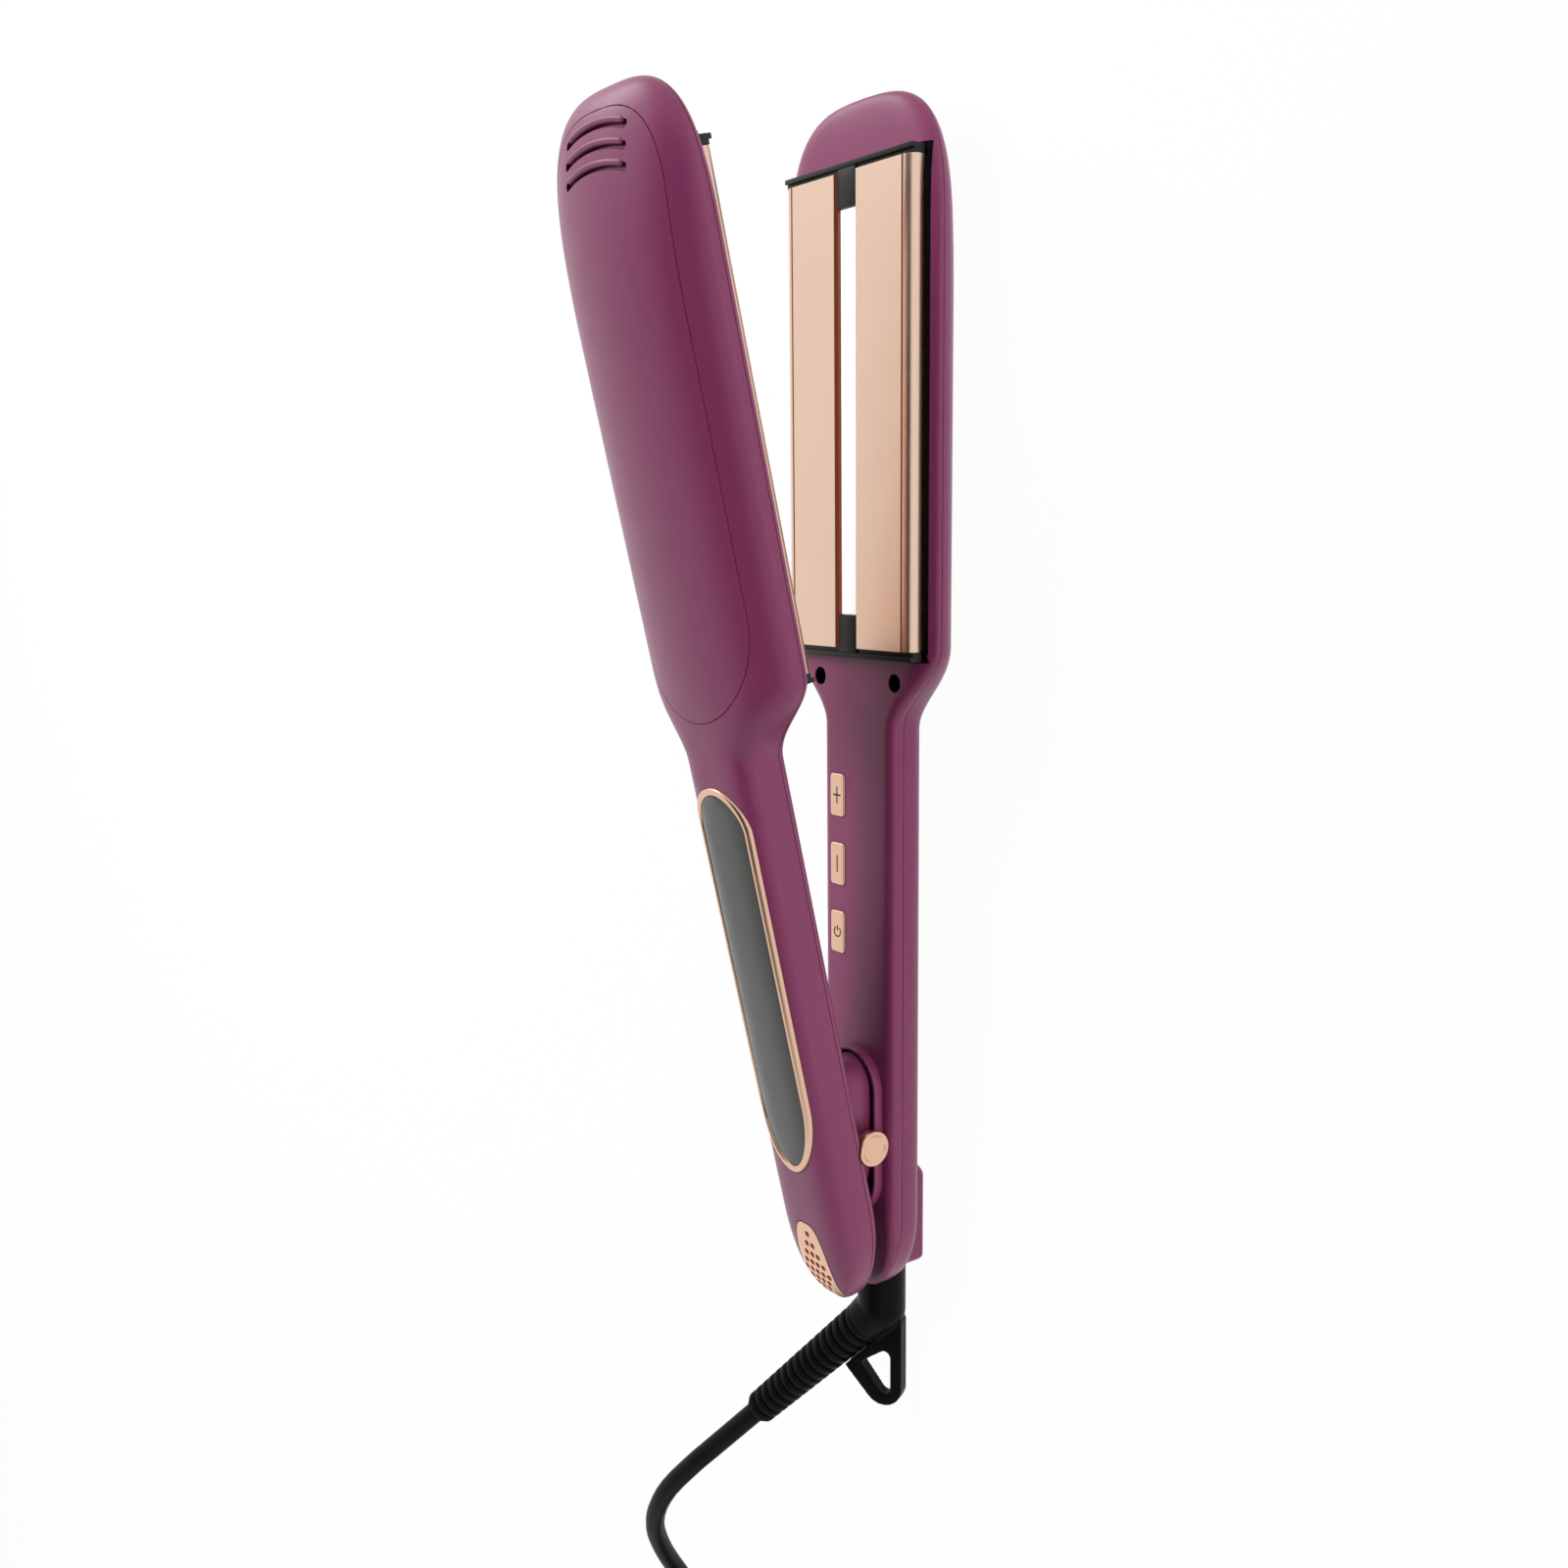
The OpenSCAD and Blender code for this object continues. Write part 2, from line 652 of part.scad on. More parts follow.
spring_d = 5.4;
spring_wire = 0.8;
spring_y = 12;
spring_x = plate_l / 2 - 16;
spring_reach = spring_d / 2 + 0.2;
spring_z = carrier_z + carrier_t;
function spring_end(x) = surf_z(plate_mid + x + spring_reach, spring_y + spring_reach, wall, wall, false);
module plate_springs() {
    for (x = [-spring_x, spring_x], side = [-1, 1])
        translate([plate_mid + x, side * spring_y, spring_z]) difference() {
            cylinder(d = spring_d, h = spring_end(x) - spring_z);
            translate([0, 0, -1]) cylinder(d = spring_d - 2 * spring_wire, h = head_d);
        }
}

module lower_plate_springs() { color("silver") on_lower() plate_springs(); }
module upper_plate_springs() { color("silver") on_upper() plate_springs(); }

module lower_shell_screws() { color("dimgray") on_lower() at_screws() shell_screw(); }
module upper_shell_screws() { color("dimgray") on_upper() at_screws() shell_screw(); }

// ---- Buttons, switches and the control board ----

button_top = face_d - 0.4;
flange_z = face_d + wall + 0.05;
board_z = 9;
board_x0 = 36;
board_x1 = neck_x - 4;
board_w = 21;
board_t = 1.2;
post_y = 6;
post_d = 4;
post_end = surf_z(40, post_y + post_d / 2, wall, tail_wall, false);

module at_buttons() {
    for (k = [0 : 2]) translate([button_x + k * button_pitch, button_y, 0]) children();
}

module button(k) {
    color(rose) on_lower() translate([button_x + k * button_pitch, button_y, 0]) {
        prism(tile_outline(button_l, button_w, 1), button_top, flange_z + 0.1);
        prism(tile_outline(button_l + 2, button_w, 1), flange_z, flange_z + 0.8);
    }
}

module plus_button() { button(2); }
module minus_button() { button(1); }
module power_button() { button(0); }

module button_switches() {
    color("black") on_lower() at_buttons() {
        translate([-3, -2.5, board_z - 2]) cube([6, 5, 2]);
        translate([0, 0, flange_z + 0.85 + button_travel]) cylinder(d = 2.4, h = board_z - flange_z - 2);
    }
}

module board(x0, x1, z) {
    translate([x0, -board_w / 2, z]) cube([x1 - x0, board_w, board_t]);
}

module control_board() {
    color("green") on_lower() {
        board(board_x0, board_x1, board_z);
        for (x = [board_x0 + 6, board_x1 - 6], side = [-1, 1])
            translate([x, side * post_y, board_z + board_t - 0.1])
                cylinder(d = post_d, h = post_end - board_z - board_t + 0.1);
    }
}

// ---- Display on the upper handle ----

bezel_x1 = bezel_x + bezel_l;
bezel_t = 1.25;
bezel_proud = 0.3;

bezel_rear = 20;

// Half width of the display's outline at x, drawn in by e: a long oval end at the rear
function display_half(x, e) =
    let (w = bezel_w / 2 - e, u = (bezel_x + bezel_rear - x) / (bezel_rear - e),
         v = (x - bezel_x1 + bezel_w / 2) / w)
    w * (u > 0 ? bow(u, 2) : v > 0 ? bow(v, 2) : 1);
function display_stations(e) = concat(
    [for (a = [82, 68, 52, 35, 17, 0]) bezel_x + bezel_rear - (bezel_rear - e) * sin(a)],
    [for (k = [1 : 2]) mix(bezel_x + bezel_rear, bezel_x1 - bezel_w / 2, k / 3)],
    [for (a = [0, 17, 35, 52, 68, 82]) bezel_x1 - bezel_w / 2 + (bezel_w / 2 - e) * sin(a)]);
function display_outline(e) = let (xs = display_stations(e)) concat(
    [for (x = xs) [x, -display_half(x, e)]],
    [for (i = [len(xs) - 1 : -1 : 0]) [xs[i], display_half(xs[i], e)]]);
function display_rows(e, depth) = [
    for (x = display_stations(e))
        let (w = display_half(x, e))
            [for (k = [-4 : 4]) [x, w * k / 4, surf_z(x, w * k / 4, depth, 0, true)]]];
module display_sheet(e, top, under) { sheet_between(display_rows(e, top), display_rows(e, under)); }

module display_pocket() {
    display_sheet(-slack, -1.5, bezel_t + pocket_floor);
    prism(display_outline(bezel_rim), part_d, 2 * head_d);
}

module display_bezel() {
    color(rose) on_upper() difference() {
        display_sheet(0, -bezel_proud, bezel_t);
        prism(display_outline(bezel_rim), part_d, 2 * head_d);
    }
}

module display_lens() {
    color(dark) on_upper() display_sheet(bezel_rim + 0.1, -bezel_proud, wall);
}

display_board_z = board_z + upper_lift;
display_z1 = handle_d + upper_lift - wall - 0.7;
module_w = bezel_w - 8.6;
module display_module() {
    color("black") on_upper() translate([bezel_x + 13, -module_w / 2, display_board_z + board_t])
        cube([bezel_l - 29, module_w, display_z1 - display_board_z - board_t]);
}

module display_board() {
    color("green") on_upper() board(bezel_x + 7, bezel_x1 - 4, display_board_z);
}

// ---- Grille over the upper tail ----

grille_t = 1.2;
grille_a0 = 5;
grille_a1 = 78;
grille_w = 5.4;
grille_hole_d = 1.1;

function grille_x(a, e) = -upper_tail_start - (upper_tail_round - e) * sin(a);
function grille_rows(grow, e) = [
    for (k = [12 : -1 : 0])
        let (b = -80 + 160 * k / 12, reach = (grille_a1 - grille_a0) / 2 + grow * 2,
             a = (grille_a0 + grille_a1) / 2 + reach * sin(b) / sin(80),
             x = grille_x(a, e),
             w = min((grille_w + grow) * pow(cos(b), 0.7) + 0.3, half_w(x, e, e, true) - 1))
            [for (i = [-3 : 3]) [x, w * i / 3, surf_z(x, w * i / 3, e, e, true)]]];

module grille_pocket() { sheet_between(grille_rows(slack, -1), grille_rows(slack, grille_t + 0.05)); }

module tail_grille() {
    color(rose) on_upper() difference() {
        sheet_between(grille_rows(0, -0.1), grille_rows(0, grille_t));
        for (k = [0 : 7], i = [-2 : 2])
            let (a = 13 + 8.2 * k, y = (i + (k % 2) / 2) * 1.9)
                if (abs(y) < grille_w * cos((k - 3.5) * 19) - 0.8)
                    translate([grille_x(a, 0), y, part_d + (handle_d + upper_lift - part_d) * cos(a)])
                        rotate([0, -a, 0]) cylinder(d = grille_hole_d, h = 6, center = true);
    }
}

// ---- Hinge ----

ear_in = 3;
ear_t = 2.2;
ear_w = 8;
bracket_z = surf_z(5, ear_in + ear_t, wall, tail_wall, false);
bracket_x1 = 20;

module hinge_bracket() {
    color("silver") on_lower() difference() {
        union() {
            translate([-ear_w / 2, -ear_in - ear_t, bracket_z - 1.2])
                cube([bracket_x1 + ear_w / 2, 2 * (ear_in + ear_t), 1.2]);
            for (side = [-1, 1]) {
                translate([-ear_w / 2, side * (ear_in + ear_t / 2) - ear_t / 2, -hinge_h])
                    cube([ear_w, ear_t, bracket_z + hinge_h]);
                across(0, -hinge_h, ear_w, side * (ear_in + ear_t / 2) - ear_t / 2,
                    side * (ear_in + ear_t / 2) + ear_t / 2);
            }
        }
        across(0, -hinge_h, pin_d + pin_fit / 2, -12, 12);
        for (x = bracket_screws) translate([x, 0, 0]) cylinder(d = 2.6, h = 20);
    }
}

bracket_screws = [9, 16];
module hinge_bracket_screws() {
    color("dimgray") on_lower() for (x = bracket_screws) translate([x, 0, 0]) {
        translate([0, 0, bracket_z - 2.5]) cylinder(d = 4, h = 1.3);
        translate([0, 0, bracket_z - 1.3]) cylinder(d = 2.4, h = 1.3);
    }
}

module hinge_pin() {
    color("silver") on_lower() across(0, -hinge_h, pin_d, -pin_end, block_w / 2 - 0.1);
}

module hinge_spring() {
    color("silver") on_lower() difference() {
        union() {
            across(0, -hinge_h, 7.2, -ear_in + 0.3, ear_in - 0.3);
            translate([0, -ear_in + 0.5, -hinge_h + 2.2]) cube([14, 1.2, 1.2]);
        }
        across(0, -hinge_h, pin_d + 0.4, -ear_in, ear_in);
    }
}

knob_t = 2.6;
module lock_knob() {
    color(rose) on_upper() {
        translate([0, -knob_back, hinge_h]) rotate([90, 0, 0]) rotate_extrude()
            polygon([[0, 0], [knob_d / 2 - 0.4, 0], [knob_d / 2, 0.4], [knob_d / 2, knob_t - 0.5],
                [knob_d / 2 - 0.5, knob_t], [knob_d / 2 - 1.1, knob_t], [knob_d / 2 - 1.4, knob_t - 0.4],
                [0, knob_t - 0.4]]);
        across(0, hinge_h, pin_d, -knob_back - 0.1, -pin_end - knob_travel - knob_gap);
    }
}

// ---- Swivel, strain relief and hanging loop ----

swivel_z = head_d - 7.2;
seat_x = housing_x0 + 1;
bore_x = tail_wall - tail_l;
elbow_x = -9 - tail_l;
boot_way = [-40, 34, 17];
boot_tip = [elbow_x - plate_mid, 0, head_d - swivel_z] + boot_way;
elbow_turn = atan2(boot_way[2], boot_way[1]);
elbow_bend = atan2(norm([boot_way[1], boot_way[2]]), -boot_way[0]);
shaft_fit = 0.1;
clip_d = shaft_d + 0.9;
clip_groove = 1;
clip_x = bore_x + 1.2;
boot_end = norm(boot_way);
boot_l = boot_end - boot_start;

module swivel_seat() {
    translate([-tail_l - 8, 0, swivel_z]) rotate([0, 90, 0])
        cylinder(d = neck_d + 2 * slack, h = seat_x + tail_l + 8);
}

module swivel_bores() {
    swivel_seat();
    translate([seat_x - 1, 0, swivel_z]) rotate([0, 90, 0]) cylinder(d = shaft_d + shaft_fit, h = 8);
    translate([clip_x - slack, 0, swivel_z]) rotate([0, 90, 0])
        cylinder(d = clip_d + 4 * slack, h = clip_groove + 3);
}

// The strain relief's frame: +Z along its axis, +X in the plane of the bend
module on_boot() {
    on_lower() translate([elbow_x, 0, swivel_z]) mirror([0, 0, 1]) rotate([elbow_turn, 0, 0])
        rotate([0, 0, -elbow_bend]) rotate([0, -90, 0]) children();
}

module in_bend_plane() {
    on_lower() translate([elbow_x, 0, swivel_z]) mirror([0, 0, 1]) rotate([elbow_turn, 0, 0]) children();
}

module swivel_neck() {
    color(dark) difference() {
        union() {
            on_lower() translate([elbow_x, 0, swivel_z]) rotate([0, 90, 0]) {
                cylinder(d = neck_d, h = seat_x - slack - elbow_x);
                cylinder(d = shaft_d, h = clip_x + clip_groove + 1 - elbow_x);
            }
            in_bend_plane() {
                sphere(d = neck_d);
                hanging_loop();
            }
            on_boot() cylinder(d1 = neck_d, d2 = boot_d + 0.4, h = boot_start);
        }
        on_lower() translate([clip_x, 0, swivel_z]) rotate([0, 90, 0]) difference() {
            cylinder(d = shaft_d + 1, h = clip_groove);
            cylinder(d = shaft_d - 1.4, h = clip_groove);
        }
        on_lower() translate([elbow_x, 0, swivel_z]) rotate([0, 90, 0]) cylinder(d = core_d, h = 20);
        on_boot() cylinder(d = core_d, h = boot_start + 1);
    }
}

loop_end_r = 5.6;
module hanging_loop() {
    difference() {
        translate([0, 0, -loop_t / 2]) linear_extrude(height = loop_t) difference() {
            hull() {
                translate([-3, 2 - neck_d / 2]) circle(r = 2, $fn = 24);
                translate([-22, loop_end_r - neck_d / 2]) circle(r = loop_end_r, $fn = 32);
                translate([-17, 9.3]) circle(r = 1.6, $fn = 24);
            }
            hull() {
                translate([-13.6, -1.6]) circle(r = 1.6, $fn = 20);
                translate([-22.6, -1.4]) circle(r = 1.8, $fn = 20);
                translate([-16.9, 4]) circle(r = 1.1, $fn = 20);
            }
        }
        rotate([0, 0, -elbow_bend]) rotate([0, -90, 0])
            translate([0, 0, boot_start]) cylinder(d = boot_d + 0.1, h = boot_l);
    }
}

module swivel_clip() {
    color("silver") on_lower() translate([clip_x + 0.1, 0, swivel_z]) rotate([0, 90, 0]) difference() {
        cylinder(d = clip_d, h = clip_groove - 0.2);
        translate([0, 0, -1]) cylinder(d = shaft_d - 1.2, h = 4);
        translate([0, -1.2, -1]) cube([8, 2.4, 4]);
    }
}

rib_pitch = boot_l / boot_ribs;
function rib_profile() = [
    for (k = [0 : boot_ribs - 1])
        let (z = k * rib_pitch, r = mix(boot_d, boot_d - 2.2, k / boot_ribs) / 2)
            each [[r, z + 0.1], [r, z + rib_pitch * 0.55], [r - 0.9, z + rib_pitch * 0.65],
                [r - 0.9, z + rib_pitch]]];

module cord_strain_relief() {
    color(dark) on_boot() translate([0, 0, boot_start]) rotate_extrude()
        polygon(concat([[0, 0], [boot_d / 2, 0]], rib_profile(), [[0, boot_l]]));
}

// ---- Cord, put-away coil, tie and plug ----

function unit(v) = v / norm(v);
function heading(path, j) = unit(path[min(j + 1, len(path) - 1)] - path[max(j - 1, 0)]);
function tube_ring(p, t, r, sides) =
    let (side = unit(cross(t, [0, 0, 1])), top = cross(side, t))
    [for (i = [0 : sides - 1])
        let (a = 360 * (i + 0.5) / sides) p + r * (cos(a) * side + sin(a) * top)];

module tube(path, r, sides) {
    n = len(path);
    rings = [for (j = [0 : n - 1]) tube_ring(path[j], heading(path, j), r, sides)];
    walls = [for (j = [0 : n - 2], i = [0 : sides - 1])
        let (a = j * sides + i, b = j * sides + (i + 1) % sides)
            each [[a, b, b + sides], [a, b + sides, a + sides]]];
    polyhedron(
        points = [for (r1 = rings, p = r1) p],
        faces = concat(walls, flip(fan(sides, 0), true), fan(sides, (n - 1) * sides)),
        convexity = 10);
}

coil_x = boot_tip[0] - 137;
coil_y = 49.2;
tie_t = 0.5;
coil_lift = cord_d / 2 + tie_t + 0.1;
coil_layers = 4;
layer_turns = coil_turns / coil_layers;
coil_out = coil_mid + layer_turns * coil_pitch / 2;
coil_rings = 24;

// Route of the cord down to the table and along to the coil, X from the strain relief's end
cord_run = [
    [0, 34, 24.2], [-6, 39.1, 26.75], [-12, 44.2, 29.3], [-18, 49.3, 31.85],
    [-23, 53.5, 34], [-34, 62.4, 37], [-44.5, 69.5, 37], [-54.5, 75.2, 34.6],
    [-64.5, 79.6, 30.2], [-74, 82.8, 25], [-84, 85.2, 19], [-94, 86.7, 13.2],
    [-104.5, 87.5, 8.2], [-115.5, 87.9, 4.8], [-123.5, 88, 3.7]
];
cord_route = [for (p = cord_run) p + [boot_tip[0], 0, 0]];

function layer_of(t) =
    let (k = floor(t / layer_turns + 0.5), d = t - k * layer_turns)
    k < 1 ? 0 : k > coil_layers - 1 ? coil_layers - 1 : k - 1 + ease((d + 0.25) / 0.5);
function inward(t) = let (u = t / layer_turns, k = floor(u)) k % 2 == 0 ? u - k : 1 - (u - k);
function coil_point(t) =
    let (r = coil_out - coil_pitch * layer_turns * inward(t), a = 90 + 360 * t)
    [coil_x + r * cos(a), coil_y + r * sin(a), coil_lift + coil_pitch * layer_of(t)];
coil_steps = floor(coil_turns * coil_rings);
coil_path = [for (k = [0 : coil_steps]) coil_point(coil_turns * k / coil_steps)];
coil_start = coil_path[0] + cord_d * [1, 0, 0];
coil_stop = coil_path[coil_steps] + cord_d * [0, -1, 0];
coil_route = concat([coil_start], coil_path, [coil_stop]);

// Least gap between turns that are at least half a turn apart
function gap_at(k) = min([for (j = [k + 12 : 1 : coil_steps]) norm(coil_path[k] - coil_path[j])]);
coil_gap = min([for (k = [0 : coil_steps - 13]) gap_at(k)]) - cord_d;
echo(coil_gap = coil_gap);

plug_l = 34;
plug_w = 32;
plug_h = 15;
plug_nose = 12;
end_drop = coil_stop[2] - plug_h / 2;
end_route = [for (k = [0 : 7]) coil_stop + [0, -7 * k, -end_drop * ease((k - 1) / 5)]];
plug_at = end_route[7];

module power_cord() { color(dark) tube(concat(cord_route, [coil_start]), cord_d / 2, 8); }
module cord_coil() { color(dark) tube(coil_route, cord_d / 2, 6); }
module cord_end() { color(dark) tube(end_route, cord_d / 2, 8); }

tie_w = 12;
module cord_tie() {
    r0 = coil_mid - layer_turns * coil_pitch / 2 - cord_d / 2 - 0.4;
    r1 = coil_out + cord_d / 2 + 0.4;
    h = coil_lift + (coil_layers - 1) * coil_pitch + cord_d / 2 + 0.2;
    color(dark) translate([coil_x, coil_y, 0]) rotate([0, 0, -20]) difference() {
        translate([r0 - tie_t, -tie_w / 2, 0]) cube([r1 - r0 + 2 * tie_t, tie_w, h + tie_t]);
        translate([r0, -tie_w, tie_t]) cube([r1 - r0, 2 * tie_w, h - tie_t]);
    }
}

plug_face_y = plug_at[1] - plug_nose - plug_l;
plug_root_l = 8;
plug_root_d = plug_pin_d - 1;

module at_plug_pins() {
    for (side = [-1, 1]) translate([plug_at[0] + side * plug_pitch / 2, plug_face_y, plug_at[2]])
        rotate([90, 0, 0]) children();
}

module plug_body() {
    color(dark) difference() {
        union() {
            translate([plug_at[0], plug_at[1] - plug_nose - 0.2, plug_at[2]]) rotate([-90, 0, 0])
                cylinder(d1 = 11, d2 = 8, h = plug_nose + 0.2);
            translate([plug_at[0], plug_at[1] - plug_nose, plug_at[2]]) rotate([90, 0, 0])
                linear_extrude(height = plug_l) polygon(tile_outline(plug_w, plug_h, 4));
        }
        at_plug_pins() translate([0, 0, -plug_root_l]) cylinder(d = plug_root_d, h = plug_root_l + 1);
    }
}

module plug_pins() {
    color("silver") at_plug_pins() {
        cylinder(d = plug_pin_d, h = plug_pin_l);
        translate([0, 0, -plug_root_l]) cylinder(d = plug_root_d, h = plug_root_l + 1);
    }
}

lower_outer_shell();
lower_inner_shell();
lower_cover_panel();
lower_heater_plate();
lower_plate_tip_cap();
lower_plate_root_cap();
lower_infrared_lens();
lower_infrared_emitter();
lower_heater_element();
lower_plate_carrier();
lower_plate_springs();
lower_shell_screws();
upper_outer_shell();
upper_inner_shell();
upper_cover_panel();
upper_heater_plate();
upper_plate_tip_cap();
upper_plate_root_cap();
upper_infrared_lens();
upper_infrared_emitter();
upper_heater_element();
upper_plate_carrier();
upper_plate_springs();
upper_shell_screws();
plus_button();
minus_button();
power_button();
button_switches();
control_board();
display_bezel();
display_lens();
display_module();
display_board();
tail_grille();
hinge_bracket();
hinge_bracket_screws();
hinge_pin();
hinge_spring();
lock_knob();
swivel_neck();
swivel_clip();
cord_strain_relief();
power_cord();
cord_coil();
cord_tie();
cord_end();
plug_body();
plug_pins();
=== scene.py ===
import json
import math

import bmesh
import bpy
from mathutils import Matrix, Vector


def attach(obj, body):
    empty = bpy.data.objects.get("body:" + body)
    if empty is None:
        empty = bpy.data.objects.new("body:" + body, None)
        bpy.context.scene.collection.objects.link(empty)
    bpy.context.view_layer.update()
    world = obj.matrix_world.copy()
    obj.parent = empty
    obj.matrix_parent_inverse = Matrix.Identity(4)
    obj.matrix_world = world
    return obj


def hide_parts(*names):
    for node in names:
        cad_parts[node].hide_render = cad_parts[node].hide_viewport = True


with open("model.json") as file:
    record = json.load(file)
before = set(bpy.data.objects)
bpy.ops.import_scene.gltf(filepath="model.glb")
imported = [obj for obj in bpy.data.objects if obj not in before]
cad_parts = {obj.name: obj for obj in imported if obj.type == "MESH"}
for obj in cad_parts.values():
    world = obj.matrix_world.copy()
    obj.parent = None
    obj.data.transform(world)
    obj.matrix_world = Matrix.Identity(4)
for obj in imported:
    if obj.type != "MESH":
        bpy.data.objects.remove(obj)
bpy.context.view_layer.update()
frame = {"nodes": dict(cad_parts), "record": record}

# ---- Sizes in millimetres, in each arm's own frame: x from the hinge axis to the tip,
# ---- y across, z from the meeting plane of the plates out to the back of the arm.
# ---- In the functions e is a depth under the skin, et the same depth at the tail,
# ---- and up is true for the upper arm

ARM_TIP, TAIL_L = 254, 43
HANDLE_W, HEAD_W = 27.6, 57
HANDLE_D, UPPER_LIFT, HEAD_D = 15.9, 2.2, 19
FACE_D, PART_D, HEAD_PART_D = 3.4, 7.2, 6.3
NECK_X, NECK_L, WALL, SEAM = 105, 21, 2, 0.16
TIP_ROUND, TAIL_ROUND, UPPER_TAIL_ROUND = 36, 22, 27
UPPER_TAIL_START = TAIL_L - UPPER_TAIL_ROUND
TIP_START, BACK_TIP_ROUND = ARM_TIP - TIP_ROUND, TIP_ROUND + 13
TAIL_WALL, TAIL_LIP, TAIL_FALL = 8, 0.6, 1.3
HANDLE_BEND, HEAD_BEND, TIP_BEND, TAIL_BEND = 3.5, 1.97, 3.2, 2.2
LOWER_TAIL_BEND, UPPER_TAIL_BEND, BACK_TIP_BEND, FACE_TIP_BEND = 4, 3, 2, 4
PART_RISE, UPPER_PART_FALL, UPPER_FACE_SHARE = 1.6, 2.2, 0.6
FACE_ROUND, HEAD_FACE_ROUND = (3, 2.4), (8, 2.6)
OPEN_ANGLE, HINGE_H = 12.8, 2
PLATE_X, PLATE_L, PLATE_W, PLATE_R, PLATE_T = 125, 112, 48.2, 2.8, 3.1
PLATE_MID, PLATE_Z = PLATE_X + PLATE_L / 2, 0.15
SLOT_W, SLOT_D, CAP_L, CAP_BLOCK = 6.8, 2.4, 2.3, 8
SLACK = 0.15


def mix(a, b, t):
    return a + (b - a) * t


def ease(t):
    """0 to 1 with a level start and end."""
    c = min(max(t, 0), 1)
    return c * c * (3 - 2 * c)


def bow(u, n):
    """The height of a superellipse of power n at u, 1 at its middle and 0 at its end."""
    return max(1 - min(max(u, 0), 1) ** n, 0) ** (1 / n)


def headness(x):
    """0 along the handle, 1 along the head."""
    return ease((x - NECK_X) / NECK_L)


def lift(x, up):
    return UPPER_LIFT * (1 - headness(x)) if up else 0


def tail_round(up):
    return UPPER_TAIL_ROUND if up else TAIL_ROUND


def tailness(x, up):
    """0 before the rounded tail, 1 at its end."""
    r = tail_round(up)
    return min(max((r - TAIL_L - x) / r, 0), 1)


def half_w(x, e, et, up):
    """Half the width of an arm."""
    r = tail_round(up)
    x0 = r - TAIL_L
    if x < x0:
        return (HANDLE_W / 2 - e) * bow((x0 - x) / (r - et), TAIL_BEND)
    if x > TIP_START:
        return (HEAD_W / 2 - e) * bow((x - TIP_START) / (TIP_ROUND - e), TIP_BEND)
    return mix(HANDLE_W, HEAD_W, headness(x)) / 2 - e


def part_z(x, up):
    """The height of the parting line between an arm's two shells."""
    turn = UPPER_PART_FALL if up else -PART_RISE
    return mix(PART_D, HEAD_PART_D, headness(x)) + turn * ease(tailness(x, up))


def crown_z(x, e, et, up):
    """The height of the back along an arm's middle."""
    s, r = part_z(x, up), tail_round(up)
    x0, x1 = r - TAIL_L, ARM_TIP - BACK_TIP_ROUND
    d = mix(HANDLE_D, HEAD_D, headness(x)) + lift(x, up) - e
    if x > x1:
        return s + (d - s) * bow((x - x1) / (BACK_TIP_ROUND - e), BACK_TIP_BEND)
    if x < x0:
        return s + (d - s) * bow((x0 - x) / (r - et), UPPER_TAIL_BEND if up else LOWER_TAIL_BEND)
    return d


def back_bend(x):
    return mix(HANDLE_BEND, HEAD_BEND, headness(x))


def surf_z(x, y, e, et, up):
    """The height of the back at x and y."""
    n = back_bend(x)
    w = half_w(x, e, et, up)
    u = min(abs(y) / w, 1) if w > 0 else 1
    s = part_z(x, up)
    return s + (crown_z(x, e, et, up) - s) * (1 - u ** n) ** (1 / n)


def face_z(x, e, up):
    """The height of the face, the side that is turned to the other arm."""
    s = part_z(x, up)
    face = FACE_D + UPPER_FACE_SHARE * lift(x, up)
    f = mix(face, s - e - TAIL_LIP, tailness(x, up) ** TAIL_FALL) + e
    if x > TIP_START:
        return s - (s - f) * bow((x - TIP_START) / (TIP_ROUND - e), FACE_TIP_BEND)
    return f


# ---- Frames ----

MM = 0.001
TO_METRES = Matrix.Scale(MM, 4)


def shift(x, y, z):
    return Matrix.Translation((x, y, z))


def rotation(degrees, axis):
    return Matrix.Rotation(math.radians(degrees), 4, axis)


def scaling(factor, axis):
    return Matrix.Scale(factor, 4, axis)


LOWER = TO_METRES @ shift(-PLATE_MID, 0, HEAD_D) @ scaling(-1, (0, 0, 1))
UPPER = (TO_METRES @ shift(-PLATE_MID, 0, HEAD_D + HINGE_H) @ rotation(-OPEN_ANGLE, "Y")
         @ shift(0, 0, -HINGE_H))
ARMS = (("lower", LOWER, False), ("upper", UPPER, True))


def in_scene(name, data):
    """A new object that shows data, linked into the scene."""
    thing = bpy.data.objects.new(name, data)
    bpy.context.scene.collection.objects.link(thing)
    return thing


bpy.context.scene.view_settings.view_transform = "Standard"

# ---- Camera ----

camera_data = bpy.data.cameras.new("camera")
camera_data.lens = 36
camera_data.sensor_width = 36
camera_data.clip_start = 0.01
camera = in_scene("camera", camera_data)
bpy.context.scene.camera = camera
camera.matrix_world = Matrix((
    (-0.00893, 0.98774, 0.15583, -0.028786),
    (-0.58942, 0.12069, -0.79876, -0.303967),
    (-0.80778, -0.09898, 0.58111, 0.259177),
    (0, 0, 0, 1),
))

# ---- Materials ----


def group(name, inputs, outputs):
    """An empty node group with its sockets, its input node and its output node."""
    tree = bpy.data.node_groups.new(name, "ShaderNodeTree")
    for label, value in inputs.items():
        socket = tree.interface.new_socket(label, in_out="INPUT", socket_type="NodeSocketFloat")
        socket.default_value = value
    for label in outputs:
        tree.interface.new_socket(label, in_out="OUTPUT", socket_type="NodeSocketFloat")
    return tree, tree.nodes.new("NodeGroupInput"), tree.nodes.new("NodeGroupOutput")


